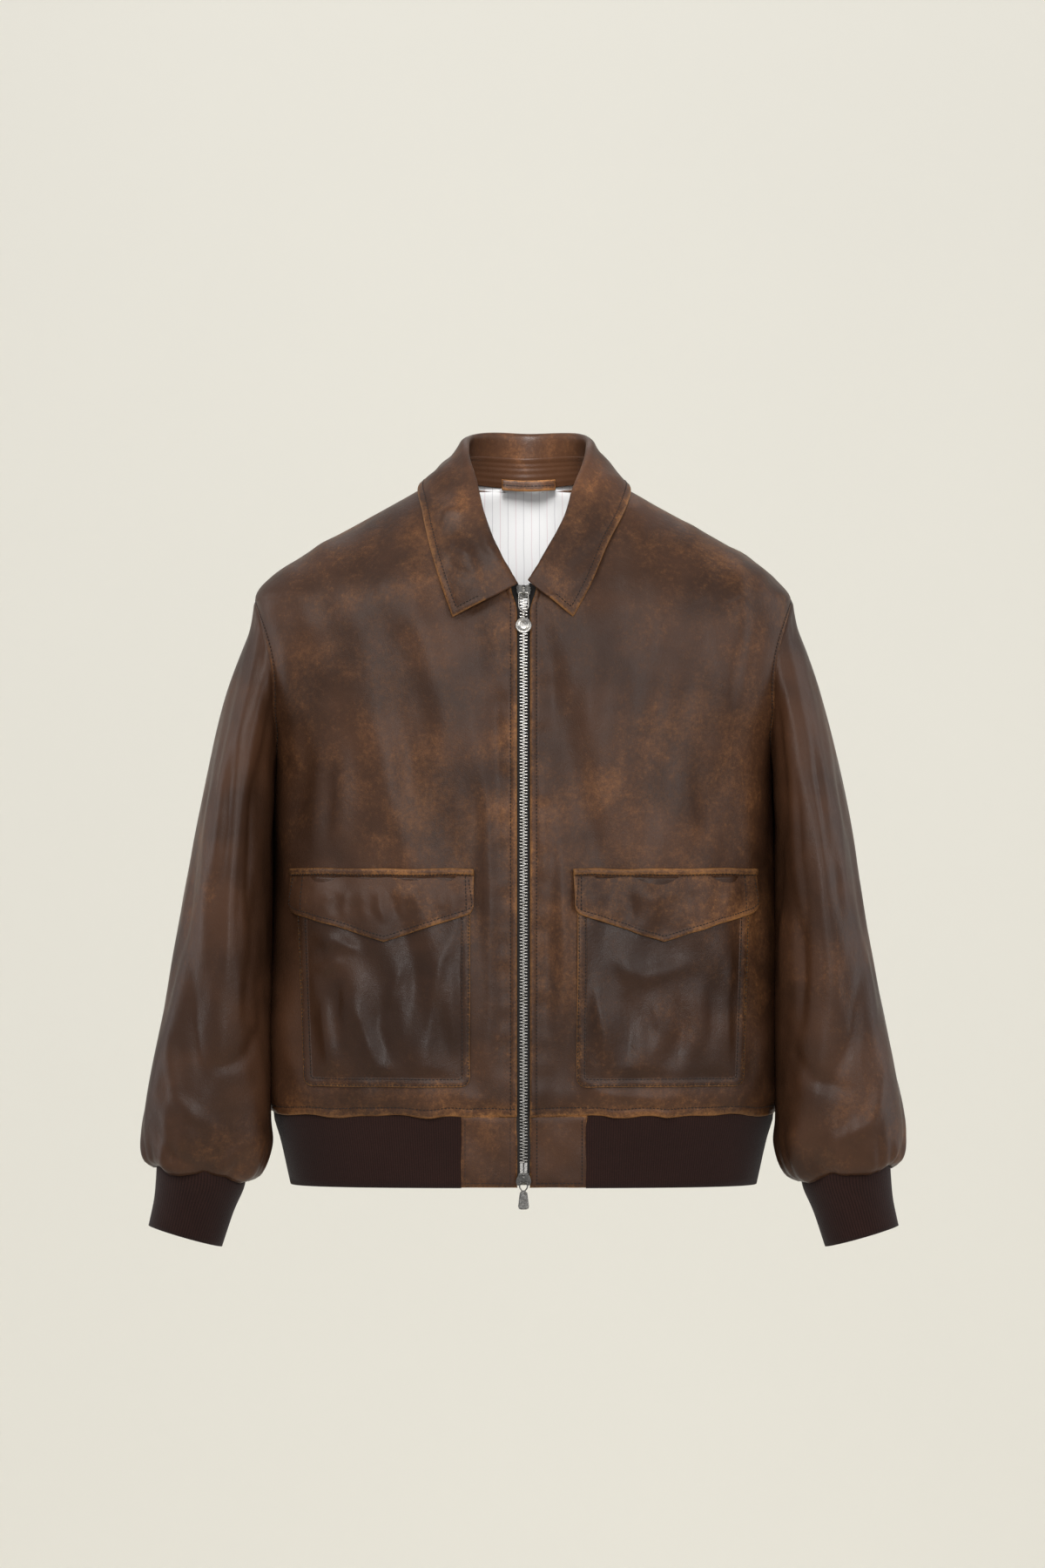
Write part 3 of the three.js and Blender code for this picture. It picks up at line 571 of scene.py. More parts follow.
def lining_cloth():
    """Off-white woven lining with thin pinstripes, alternately grey and pink."""
    n = Nodes("lining")
    across = n.attribute("across")  # in millimetres from the middle of the back
    spacing = 7.6

    def stripe(period, offset, width):
        phase = n.math("PINGPONG", n.math("ADD", across, offset), period / 2)
        return n.ramp(phase, width, width * 0.35, 0.0, 1.0)

    weave = n.noise(1800, 2, 0.5, (1, 1, 0.5))
    ground = n.mix(weave, tuple(c * 0.93 for c in colours().lining), tuple(colours().lining))
    colour = n.mix(n.math("MULTIPLY", stripe(2 * spacing, 0.0, 0.42), 0.62), ground, (0.42, 0.40, 0.42))
    colour = n.mix(n.math("MULTIPLY", stripe(2 * spacing, spacing, 0.42), 0.55), colour, (0.62, 0.42, 0.44))
    return n.finish(colour, 0.62, n.relief(weave, 0.0001, 0.5), Sheen_Weight=0.15)


def tape_cloth():
    """Black woven tape."""
    n = Nodes("zip_tape")
    weave = n.noise(2200, 2, 0.5, (1, 1, 0.4))
    colour = n.mix(weave, (0.006, 0.005, 0.0045), (0.022, 0.018, 0.016))
    return n.finish(colour, 0.85, n.relief(weave, 0.0002))


def thread_cloth():
    """Dark twisted thread."""
    n = Nodes("thread")
    strands = n.noise(2500, 2, 0.5, (1, 1, 0.3))
    dark = tuple(c * 0.6 for c in colours().thread)
    return n.finish(n.mix(strands, dark, tuple(colours().thread)), 0.6, n.relief(strands, 0.0001))


def nickel(name, tarnish=0.3, shade=1.0):
    """Nickel plate, rubbed and a little tarnished in its recesses."""
    n = Nodes(name)
    stain = n.ramp(n.sum((n.noise(330, 5, 0.6), 0.7), (n.noise(60, 3), 0.3)), 0.42, 0.72)
    bright = tuple(c * shade for c in colours().metal)
    dull = tuple(c * (1 - tarnish) * k for c, k in zip(bright, (0.72, 0.68, 0.62)))
    colour = n.mix(stain, bright, dull)
    roughness = n.ramp(n.noise(520, 4), 0.3, 0.7, 0.18, 0.34)
    return n.finish(colour, roughness, n.relief(n.noise(900, 3), 0.00004, 0.6), Metallic=1.0)


LOOKS = {}


def look(name):
    """The material of a finish, made when it is first asked for."""
    makers = {
        "leather": lambda: leather("leather"),
        "pocket_leather": lambda: leather("pocket_leather", -0.10, 0.07, 0.72),
        "collar_leather": lambda: leather("collar_leather", -0.03, 0.02, 0.9),
        "rib_knit": rib_knit,
        "lining": lining_cloth,
        "zip_tape": tape_cloth,
        "thread": thread_cloth,
        "zip_metal": lambda: nickel("zip_metal", 0.35, 0.48),
        "bright_metal": lambda: nickel("bright_metal", 0.15),
    }
    if name not in LOOKS:
        LOOKS[name] = makers[name]()
    return LOOKS[name]


# ---- The body's form: horizontal superellipse rings, in the frame's millimetres ----------------
HEM_Z = -588
RIB_TOP_Z = -579
RIB_BOTTOM_Z = -655
ZIP_TOP_Z = -88
NECK_SIDE_Z = 15
FRONT_EDGE_X = 6
TAB_EDGE_X = 60
BACK_NECK_DIP = 8
FRONT_WIDTH, NEAR_ZIP, NEAR_ARM = 262, 16, 8  # of a front's cloth, and its strips with close columns
BACK_WIDTH = 510
HEM_ROW = 1.2  # distance between rows near the hem
ZIP_STITCH, HEM_STITCH, ARM_STITCH = 6.2, 8.2, 5.2  # from the edge to the topstitch
ARMHOLE_TOP, ARMHOLE_BOTTOM, ARMHOLE_DEPTH = -100, -265, 65
ARMHOLE_MID = (ARMHOLE_TOP + ARMHOLE_BOTTOM) / 2
ARMHOLE_HALF = (ARMHOLE_TOP - ARMHOLE_BOTTOM) / 2

half_width = smooth([
    (17, 80), (5, 100), (-41, 183), (-59, 213), (-79, 240), (-100, 255), (-135, 254), (-200, 249),
    (-234, 240), (-265, 236), (-357, 241), (-440, 243.5), (-560, 243.5), (-590, 240), (-608, 234),
    (-655, 223),
])
front_y = smooth([
    (17, -15), (5, -48), (-30, -74), (-60, -91), (-88, -104), (-130, -113), (-180, -117),
    (-300, -120), (-450, -120), (-560, -118), (-590, -112), (-655, -105),
])
back_y = smooth([
    (17, 30), (5, 77), (-60, 100), (-150, 112), (-300, 110), (-560, 109), (-590, 105), (-655, 98),
])
side_y = smooth([(17, 0), (-100, 0), (-265, 15), (-400, 20), (-590, 18), (-655, 10)])
shape = smooth([(17, 2.2), (-60, 2.5), (-130, 3.0), (-655, 3.0)])


def neck_x(z):
    """How far from the middle the neckline runs."""
    rise = np.clip((np.asarray(z, float) - ZIP_TOP_Z) / (NECK_SIDE_Z - ZIP_TOP_Z), 0, None)
    return FRONT_EDGE_X + 72 * rise**0.6


def half_ring(z, facing, inset=0.0):
    """Points of a ring from its middle, front or back, to its side, with their running length."""
    t = np.pi / 2 * (0.5 - 0.5 * np.cos(np.linspace(0, np.pi, 240)))
    middle = front_y(z) + inset if facing < 0 else back_y(z) - inset
    power = 2 / shape(z)
    x = (half_width(z) - inset) * np.sin(t) ** power
    y = side_y(z) + (middle - side_y(z)) * np.clip(np.cos(t), 0, 1) ** power
    length = np.r_[0, np.cumsum(np.hypot(np.diff(x), np.diff(y)))]
    return x, y, length


def ring_point(ring, z, at):
    """Points of a ring at given running lengths."""
    x, y, length = ring
    return np.stack([np.interp(at, length, x), np.interp(at, length, y), np.full(np.shape(at), z, float)], -1)


def armhole_reach(z):
    """Half the armhole's depth at a height."""
    share = np.clip(abs(z - ARMHOLE_MID) / ARMHOLE_HALF, 0, 1)
    return ARMHOLE_DEPTH * math.sqrt(1 - share**2)


def outer_length(ring, z, facing, gap=0.15):
    """Running length of a ring from the middle to the armhole or the side seam."""
    _, y, length = ring
    reach = armhole_reach(z) + gap
    return float(np.interp(reach, facing * (y[::-1] - side_y(z)), length[::-1]))


def form_front(x, z):
    """Depth of the body's front at a point of its front view."""
    share = np.clip(1 - (np.abs(x) / half_width(z)) ** shape(z), 0, 1)
    return side_y(z) + (front_y(z) - side_y(z)) * share ** (1 / shape(z))


def body_x(y, z):
    """Half-width of the body at a depth, which keeps a sleeve clear of it."""
    reach = np.where(y < side_y(z), front_y(z), back_y(z)) - side_y(z)
    share = np.minimum(np.abs((y - side_y(z)) / reach), 1)
    return half_width(z) * (1 - share ** shape(z)) ** (1 / shape(z))


def stations(length, fine):
    """Positions from 0 to a length: the usual spacing, but finer over the given (from, to, spacing) spans."""
    found, at = [], 0.0
    for low, high, spacing in (*fine, (length, length, 1.0)):
        if low > at:
            found += list(np.linspace(at, low, max(2, int(round((low - at) / sizes().grid)) + 1))[:-1])
        if high > low:
            found += list(np.linspace(low, high, int(round((high - low) / spacing)) + 1)[:-1])
        at = high
    return np.array(found + [length])


def panel_rows(top, bottom):
    """Heights of a panel's rows, closer together near the hem."""
    return top - stations(top - bottom, ((top - bottom - 12, top - bottom, HEM_ROW),))


def hem_wave(u, seed):
    """How far the hem's edge strays up and down along its length."""
    rng = np.random.default_rng(seed + 40)
    return sum(np.sin(2 * np.pi * u / length + rng.uniform(0, 6.3)) for length in (43, 71, 118)) * 0.75


# ---- Folds: ridges and troughs in front view, (x, z) paths with width and height ---------------
FRONT_FOLDS = {
    "right": [
        ([(-36, -215), (-33, -330), (-30, -470), (-34, -575)], 6.0, 3.2),
        ([(-50, -250), (-46, -350), (-44, -430)], 9.0, -2.2),
        ([(-24, -120), (-27, -250), (-22, -420)], 6.0, -1.6),
        ([(-168, -215), (-172, -290), (-180, -352)], 9.0, 3.4),
        ([(-190, -225), (-192, -300), (-196, -352)], 8.0, 3.0),
        ([(-180, -235), (-183, -300), (-187, -345)], 6.0, -2.2),
        ([(-140, -170), (-135, -270), (-140, -350)], 14.0, 2.4),
        ([(-112, -190), (-108, -280), (-104, -352)], 11.0, -2.2),
        ([(-84, -150), (-80, -260), (-74, -350)], 12.0, 2.2),
        ([(-214, -190), (-208, -250), (-213, -330)], 8.0, -2.6),
        ([(-226, -250), (-224, -330), (-228, -430)], 7.0, 2.4),
        ([(-150, -60), (-120, -110), (-80, -150)], 16.0, 1.8),
        ([(-205, -95), (-190, -150), (-186, -200)], 13.0, 2.2),
        ([(-62, -566), (-40, -574), (-22, -572)], 5.0, 1.8),
        ([(-228, -470), (-222, -530), (-205, -572)], 7.0, 2.2),
    ],
    "left": [
        ([(35, -290), (38, -400), (34, -500), (42, -560)], 6.5, 3.4),
        ([(24, -240), (26, -360), (22, -500)], 5.5, -2.2),
        ([(42, -545), (75, -566), (120, -571), (165, -568)], 5.5, 2.4),
        ([(66, -574), (110, -580), (150, -579)], 4.0, -1.4),
        ([(60, -160), (66, -260), (60, -345)], 14.0, 2.2),
        ([(104, -140), (110, -240), (106, -345)], 16.0, -2.2),
        ([(150, -190), (152, -280), (146, -350)], 14.0, 2.2),
        ([(203, -58), (205, -90), (200, -130)], 8.0, 2.6),
        ([(222, -100), (214, -150), (212, -200)], 9.0, -2.6),
        ([(190, -120), (186, -200), (194, -300)], 12.0, 2.2),
        ([(216, -230), (212, -300), (218, -400)], 8.0, 2.4),
        ([(226, -300), (224, -400), (230, -520)], 6.0, -2.0),
        ([(120, -52), (100, -100), (64, -130)], 15.0, 1.8),
        ([(226, -500), (222, -545), (212, -575)], 6.0, 2.2),
    ],
}


def hem_puckers(along, above, seed):
    """Short gathers over the hem seam and the roll of leather that hangs over it."""
    rng = np.random.default_rng(seed)
    ripple = sum(
        np.sin(2 * np.pi * along / length + phase)
        for length, phase in zip(rng.uniform(16, 46, 6), rng.uniform(0, 6.3, 6))
    )
    pull = bump(above, 13)
    roll = 1.6 * bump(above - 15, 13) - 1.5 * bump(above, 4.5)
    return (0.55 * ripple + 0.4) * pull + roll


def build_front(side):
    """One front: neckline, zip edge, armhole and side seam, with its folds."""
    sign = SIDES[side]
    rows = panel_rows(NECK_SIDE_Z, HEM_Z)
    near_edges = stations(FRONT_WIDTH, ((0, NEAR_ZIP, 1.0), (FRONT_WIDTH - NEAR_ARM, FRONT_WIDTH, 1.3)))
    grid = np.zeros((len(rows), len(near_edges), 3))
    for i, z in enumerate(rows):
        ring = half_ring(z, -1)
        start = np.interp(neck_x(z), ring[0], ring[2])
        width = outer_length(ring, z, -1) - start
        # the lines beside the zip and the armhole keep their spacing; those between them stretch
        inner, outer = near_edges < NEAR_ZIP + 0.5, near_edges > FRONT_WIDTH - NEAR_ARM - 0.5
        kept = NEAR_ZIP + NEAR_ARM
        at = NEAR_ZIP + (near_edges - NEAR_ZIP) * (width - kept) / (FRONT_WIDTH - kept)
        at = np.where(inner, near_edges, np.where(outer, width - (FRONT_WIDTH - near_edges), at))
        grid[i] = ring_point(ring, z, start + at)
    u, v = grid[..., 0] * sign, grid[..., 2]
    height = Drape(21 if sign > 0 else 22, 85, 260, 2.0)(u, v)
    height += Drape(31 if sign > 0 else 32, 34, 120, 0.55)(u, v)
    height = with_folds(height, u, v, FRONT_FOLDS[side], 0.85)
    # the zip and the seams hold the cloth in, with short pulls along them
    zip_side = np.abs(u) - neck_x(v)
    zip_pull = sum(np.sin(2 * np.pi * v / length + sign * length) for length in (23, 37, 61))
    height *= smoothstep(0, 26, zip_side) * smoothstep(-6, 26, outer_gap(grid))
    height += 0.26 * zip_pull * bump(zip_side - 12, 9) + 0.55 * bump(zip_side - 2.5, 5)
    height += hem_puckers(np.abs(u), v - HEM_Z, 5 if sign > 0 else 6)
    height += 0.7 * np.exp(-outer_gap(grid) / 2.5) * smoothstep(ARMHOLE_TOP - 6, ARMHOLE_TOP - 30, v)
    height *= smoothstep(NECK_SIDE_Z + 2, -25, v) * 0.9 + 0.1
    height += shell_grooves(zip_side, v - HEM_Z, np.where(v < ARMHOLE_TOP - 4, outer_gap(grid), 99))
    height = np.where(v < HEM_Z + 16, np.maximum(height, -0.8), height)
    grid = grid + grid_normals(grid) * height[..., None]
    grid[..., 2] += hem_wave(u, 5 if sign > 0 else 6) * bump(v - HEM_Z, 12) * smoothstep(8, 30, zip_side)
    splay = 5.5 * smoothstep(-112, -90, v) * bump(zip_side, 14)
    grid[..., 0] += splay
    grid[..., 0] *= sign
    if sign < 0:
        grid = grid[:, ::-1]
    wear = seam_wear(grid)
    piece = add_shell(f"shell_front_{side}", grid, sizes().leather, look("leather"), wear=wear)
    ride(piece, f"front_{side}")
    SURFACES[side] = Surface(grid)
    declare(grid)


def shell_grooves(zip_side, above, armhole):
    """Furrows under the topstitches of the zip edge, the hem and the armhole."""
    height = -0.55 * bump(zip_side - ZIP_STITCH, 1.3) + 0.5 * bump(zip_side - 2.8, 2.4)
    height += -0.6 * bump(above - HEM_STITCH, 1.5) + 0.6 * bump(above - 3.5, 3.0)
    return height - 0.6 * bump(armhole - ARM_STITCH, 1.4) + 0.5 * bump(armhole - 2, 2.0)


def outer_gap(grid):
    """Distance along each row from the outer edge of a front."""
    across, _ = running_lengths(grid)
    return across[:, -1:] - across


def seam_wear(grid):
    """Where a front has rubbed: shoulders, the chest, the hem, and the cloth round the pockets."""
    x, z = np.abs(grid[..., 0]), grid[..., 2]
    shoulder = 0.30 * smoothstep(-150, -30, z) * smoothstep(90, 200, x)
    hem = 0.20 * bump(z - HEM_Z, 12)
    pocket = 0.14 * bump(np.maximum(np.abs(x - 132) - 86, 0), 9) * smoothstep(-600, -540, z) * (z < -350)
    chest = 0.10 * bump(z + 250, 120)
    return shoulder + hem + pocket + chest


def build_back():
    """The back in one piece: neckline, shoulders, armholes and side seams."""
    rows = panel_rows(NECK_SIDE_Z, HEM_Z)
    columns = int(BACK_WIDTH / (sizes().grid * 1.15))
    share = np.linspace(1, -1, columns + 1)
    grid = np.zeros((len(rows), columns + 1, 3))
    for i, z in enumerate(rows):
        near_top = float(smoothstep(-60, NECK_SIDE_Z, z))
        for j, s in enumerate(share):
            level = z - BACK_NECK_DIP * near_top * (1 - s * s)
            if near_top == 0 and j:
                ring, reach = last
            else:
                ring = half_ring(level, 1)
                reach = outer_length(ring, level, 1)
                last = ring, reach
            grid[i, j] = ring_point(ring, level, abs(s) * reach)
            grid[i, j, 0] *= 1 if s >= 0 else -1
    u, v = grid[..., 0], grid[..., 2]
    height = Drape(41, 110, 300, 2.6)(u, v) + Drape(42, 40, 150, 0.6)(u, v)
    height = with_folds(height, u, v, BACK_FOLDS)
    hold = smoothstep(0, 24, edge_distance(grid))
    height = height * hold + hem_puckers(u, v - HEM_Z, 9) + shell_grooves(99, v - HEM_Z, 99)
    height *= smoothstep(8, -30, v) * 0.9 + 0.1
    height = np.where(v < HEM_Z + 16, np.maximum(height, -0.8), height)
    grid = grid + grid_normals(grid) * height[..., None]
    grid[..., 2] += hem_wave(u, 9) * bump(v - HEM_Z, 12)
    wear = 0.22 * smoothstep(-120, -20, v) + 0.12 * bump(v + 300, 160) + 0.2 * bump(v - HEM_Z, 12)
    piece = add_shell("shell_back", grid, sizes().leather, look("leather"), wear=wear)
    ride(piece, "back")
    SURFACES["back"] = Surface(grid)
    declare(grid)


BACK_FOLDS = [
    ([(-205, -150), (-150, -210), (-110, -330)], 16, 3.4),
    ([(205, -150), (158, -215), (116, -340)], 16, 3.2),
    ([(-180, -190), (-130, -260), (-96, -380)], 9, -2.6),
    ([(182, -195), (136, -270), (98, -390)], 9, -2.4),
    ([(-214, -300), (-150, -420), (-120, -540)], 12, 2.8),
    ([(212, -310), (160, -430), (128, -545)], 12, 2.8),
    ([(-24, -300), (-30, -430), (-20, -560)], 11, 2.4),
    ([(34, -340), (30, -450), (40, -560)], 9, 2.4),
    ([(4, -320), (2, -440), (8, -550)], 8, -2.0),
    ([(-70, -420), (-76, -500), (-66, -575)], 7, 2.4),
    ([(84, -430), (80, -500), (88, -575)], 7, 2.2),
    ([(-150, -480), (-158, -530), (-150, -578)], 7, 2.0),
    ([(166, -480), (160, -530), (168, -578)], 7, 2.0),
    ([(-120, -60), (0, -84), (120, -60)], 20, -1.8),
]


# ---- Lining, hem and tabs ----------------------------------------------------------------------
def build_lining():
    """The back lining: a panel that hangs just inside the back, with its stripes' distance across."""
    grid = SURFACES["back"].grid[1:-4:2, 3:-3:3]
    grid = grid - grid_normals(grid) * (sizes().leather + 1.6)
    tucked = [grid[0] + (0, -0.8 * k, 3.0 * k) for k in (4, 3, 2, 1)]
    grid = np.concatenate([tucked, grid])
    across, _ = running_lengths(grid)
    across -= across[:, -1:] / 2
    soft = Drape(51, 60, 190, 0.9)(grid[..., 0], grid[..., 2])
    grid = grid - grid_normals(grid) * (np.abs(soft) + 0.3)[..., None]
    piece = add_shell("lining_back_cloth", grid, 0.8, look("lining"), extra={"across": across})
    ride(piece, "lining_back")
    declare(grid)


def rib_profile(phase, depth):
    """Height of a rib knit: round wales with narrow valleys between them, and how much painted shade darkens
    each valley.
    """
    wave = np.abs(np.cos(np.pi * phase))
    return depth * (wave**0.6 - 1), 1 - smoothstep(0.15, 0.6, wave)


def ribbed_shell(name, line, pitch, depth, rows, wrapped, node, columns_per_rib=5, thickness=2.0, sag=None):
    """A knitted band: line(row) gives its outer ring at a height share; the ribs run down it."""
    first = line(0.0)
    closed = np.vstack([first, first[:1]]) if wrapped else first
    girth = np.linalg.norm(np.diff(closed, axis=0), axis=1).sum()
    ribs = int(girth / pitch)
    count = ribs * columns_per_rib
    grid = []
    for share in np.linspace(0, 1, rows):
        ring = line(share)
        ring = np.vstack([ring, ring[:1]]) if wrapped else ring
        even = evenly(ring, count=count + 1)
        grid.append(even[:-1] if wrapped else even)
    grid = np.array(grid)
    phase = np.arange(grid.shape[1]) / columns_per_rib
    shares = np.linspace(0, 1, rows)[:, None]
    wobble = 0.10 * np.sin(9.1 * shares + 0.37 * phase[None])
    height, valley_shade = rib_profile(phase[None] + wobble, depth)
    height = height * (0.35 + 0.65 * smoothstep(0, 0.06, 1 - shares))
    if sag is not None:
        height = height + sag(phase[None] * pitch, shares)
    outer = grid + grid_normals(grid, wrapped) * height[..., None]
    inner = grid - grid_normals(grid, wrapped) * thickness
    points = np.concatenate([outer.reshape(-1, 3), inner.reshape(-1, 3)])
    # how much painted shade darkens the valleys between the ribs, on both faces
    attributes = {"valley_shade": np.concatenate([np.broadcast_to(valley_shade, outer.shape[:2]).ravel()] * 2)}
    faces = shell_faces(*outer.shape[:2], wrapped)
    piece = add_object(name, points, faces, look("rib_knit"), attributes)
    ride(piece, node)
    return piece, closed_up(grid) if wrapped else grid


def hem_line(share):
    """The rib hem's ring at a height share, from one leather tab round the back to the other."""
    z = RIB_TOP_Z + share * (RIB_BOTTOM_Z - RIB_TOP_Z)
    inset = 2.6 + 1.4 * (1 - float(smoothstep(0.05, 0.3, share)))
    front, back = half_ring(z, -1, inset), half_ring(z, 1, inset)
    start = np.interp(TAB_EDGE_X - 1.5, front[0], front[2])
    half = np.vstack([
        ring_point(front, z, np.linspace(start, front[2][-1], 60)),
        ring_point(back, z, np.linspace(back[2][-1], 0, 60))[1:],
    ])
    mirrored = half[:-1][::-1] * (-1, 1, 1)
    return np.vstack([half, mirrored])[::-1]


def build_hem():
    """The rib hem, drawn in a little at its lower edge, with soft waves."""
    def sag(along, share):
        wave = 0.8 * np.sin(along / 31 + 1.3 * np.sin(along / 77)) * share + 1.2 * bump(share - 0.5, 0.35)
        return wave * smoothstep(0, 30, np.minimum(along, along.max() - along)) - 0.6

    piece, grid = ribbed_shell(
        "hem_rib_knit", hem_line, sizes().hem_rib, 0.62, 11, False, "hem_rib", 4, 2.0, sag
    )
    declare(grid)


def tab_grid(sign):
    """The outside of a hem tab, on the body's form and a little puffed."""
    rows = np.linspace(HEM_Z + 1, RIB_BOTTOM_Z, 34)
    columns = np.linspace(FRONT_EDGE_X - 0.2, TAB_EDGE_X, 30)
    x, z = np.meshgrid(columns, rows)
    grid = np.stack([x, form_front(x, z), z], -1)
    puff = 0.9 * smoothstep(0, 7, edge_distance(grid)) + Drape(61 if sign > 0 else 62, 40, 55, 0.5)(x, z)
    return grid + grid_normals(grid) * (puff - 0.8)[..., None]


def build_tab(side):
    """A leather tab of the hem beside the zip, with a row of stitches at each upright edge and one along its
    lower edge.
    """
    sign = SIDES[side]
    grid = tab_grid(sign)
    if sign < 0:
        grid = (grid * (-1, 1, 1))[:, ::-1]
    piece = add_shell(f"shell_hem_tab_{side}", grid, sizes().leather + 1.2, look("leather"), wear=-0.12)
    ride(piece, f"hem_tab_{side}")
    SURFACES[f"tab_{side}"] = surface = Surface(grid if sign > 0 else grid[:, ::-1])
    z = np.array([HEM_Z - 3, RIB_BOTTOM_Z + 2.5])
    lines = [line_on(surface, np.full(2, sign * x), z, 0.1) for x in (FRONT_EDGE_X + 6.5, TAB_EDGE_X - 5)]
    low = np.array([FRONT_EDGE_X + 7.0, TAB_EDGE_X - 5.5])
    lines.append(line_on(surface, sign * low, np.full(2, RIB_BOTTOM_Z + 4.5), 0.1))
    SEAMS.setdefault("hem_tab", []).extend(lines)
    declare(grid)


# ---- Sleeves and cuffs -------------------------------------------------------------------------
# Each ring: its outermost (x, z), its innermost (x, z), half its depth and its middle y.
SLEEVE_RINGS = [
    (258, -100, 236, -265.5, 65, 8), (262, -122, 237.5, -280, 70, 5), (268, -148, 239.5, -300, 76, 2),
    (281, -192, 240, -330, 83, -4), (297, -255, 239.5, -370, 85, -12), (311, -320, 239.5, -412, 83, -19),
    (328, -425, 240, -475, 75, -28), (344, -512, 240, -540, 67, -33), (357, -575, 241, -590, 61, -36),
    (361, -605, 240, -617, 58, -36), (359, -629, 250, -643, 50, -36), (350, -637, 262, -650, 44, -36),
]
CUFF_RINGS = [
    (346, -630, 265, -641, 41, -36), (347, -650, 267, -657, 40, -36),
    (349, -670, 277, -680, 36, -36), (354, -694, 288, -713, 32, -37),
]
ARM_CLEAR = 0.5


def arm_rings(rings, angles, count):
    """Rings of a sleeve or cuff, evenly spaced along it, and how far down each one is."""
    table = spline(rings, 40 * (len(rings) - 1) + 1)
    middle = np.stack([(table[:, 0] + table[:, 2]) / 2, table[:, 5], (table[:, 1] + table[:, 3]) / 2], 1)
    length = length_along(middle)
    down = np.linspace(0, length[-1], count)
    table = np.stack([np.interp(down, length, table[:, k]) for k in range(6)], 1)
    index = np.interp(down, length, np.linspace(0, len(rings) - 1, len(length)))
    out = (1 + np.cos(angles)) / 2
    grid = np.stack([
        table[:, 2:3] + (table[:, 0:1] - table[:, 2:3]) * out,
        table[:, 5:6] - table[:, 4:5] * np.sin(angles),
        table[:, 3:4] + (table[:, 1:2] - table[:, 3:4]) * out,
    ], -1)
    return grid, down, index


def armhole_line(angles):
    """The armhole's edge on the body's form, at each angle round the sleeve."""
    points = []
    for angle in angles:
        z = ARMHOLE_MID + ARMHOLE_HALF * math.cos(angle)
        facing = -1 if math.sin(angle) >= 0 else 1
        ring = half_ring(z, facing)
        points.append(ring_point(ring, z, outer_length(ring, z, facing, 0.0)))
    return np.array(points)


# Folds of a sleeve over (angle in degrees, millimetres down the arm): 0 is the outside, 90 the front.
SLEEVE_FOLDS = {
    "right": [
        ([(60, 60), (75, 150), (70, 260)], 9, 2.6), ([(100, 40), (112, 130), (118, 240)], 8, 3.0),
        ([(84, 90), (92, 200), (96, 320)], 7, -2.6), ([(130, 120), (124, 240), (112, 360)], 8, 2.8),
        ([(40, 240), (62, 330), (96, 400)], 9, 3.0), ([(150, 300), (120, 350), (80, 372)], 8, 3.2),
        ([(30, 330), (60, 400), (112, 430)], 7, -2.4), ([(20, 400), (60, 452), (124, 474)], 8, 3.0),
        ([(140, 420), (104, 470), (66, 486)], 6, -2.2), ([(52, 470), (90, 500), (136, 506)], 6, 2.6),
        ([(24, 120), (28, 250), (20, 380)], 10, 2.4), ([(-40, 60), (-64, 200), (-60, 330)], 11, 3.0),
        ([(-90, 80), (-110, 240), (-100, 380)], 9, -2.6), ([(-30, 330), (-80, 390), (-130, 420)], 9, 3.2),
        ([(-20, 420), (-70, 470), (-130, 492)], 8, 3.0), ([(168, 120), (160, 260), (164, 400)], 8, 2.0),
    ],
    "left": [
        ([(56, 70), (66, 170), (60, 280)], 9, 2.8), ([(92, 50), (106, 150), (110, 250)], 8, 2.6),
        ([(76, 110), (84, 210), (82, 330)], 7, -2.4), ([(128, 110), (118, 230), (120, 350)], 8, 3.0),
        ([(36, 260), (66, 340), (108, 392)], 9, 3.2), ([(146, 320), (112, 372), (70, 396)], 8, 2.8),
        ([(26, 360), (64, 420), (118, 446)], 7, -2.4), ([(10, 440), (40, 482), (92, 500)], 7, 3.4),
        ([(4, 462), (26, 500), (60, 516)], 5, -2.8), ([(130, 440), (100, 480), (70, 498)], 6, 2.4),
        ([(20, 110), (26, 230), (18, 360)], 10, 2.4), ([(-44, 70), (-60, 210), (-56, 340)], 11, 3.0),
        ([(-92, 90), (-104, 230), (-108, 370)], 9, -2.6), ([(-34, 340), (-84, 396), (-128, 430)], 9, 3.0),
        ([(-24, 430), (-74, 476), (-126, 500)], 8, 3.0), ([(166, 130), (162, 250), (166, 390)], 8, 2.0),
    ],
}


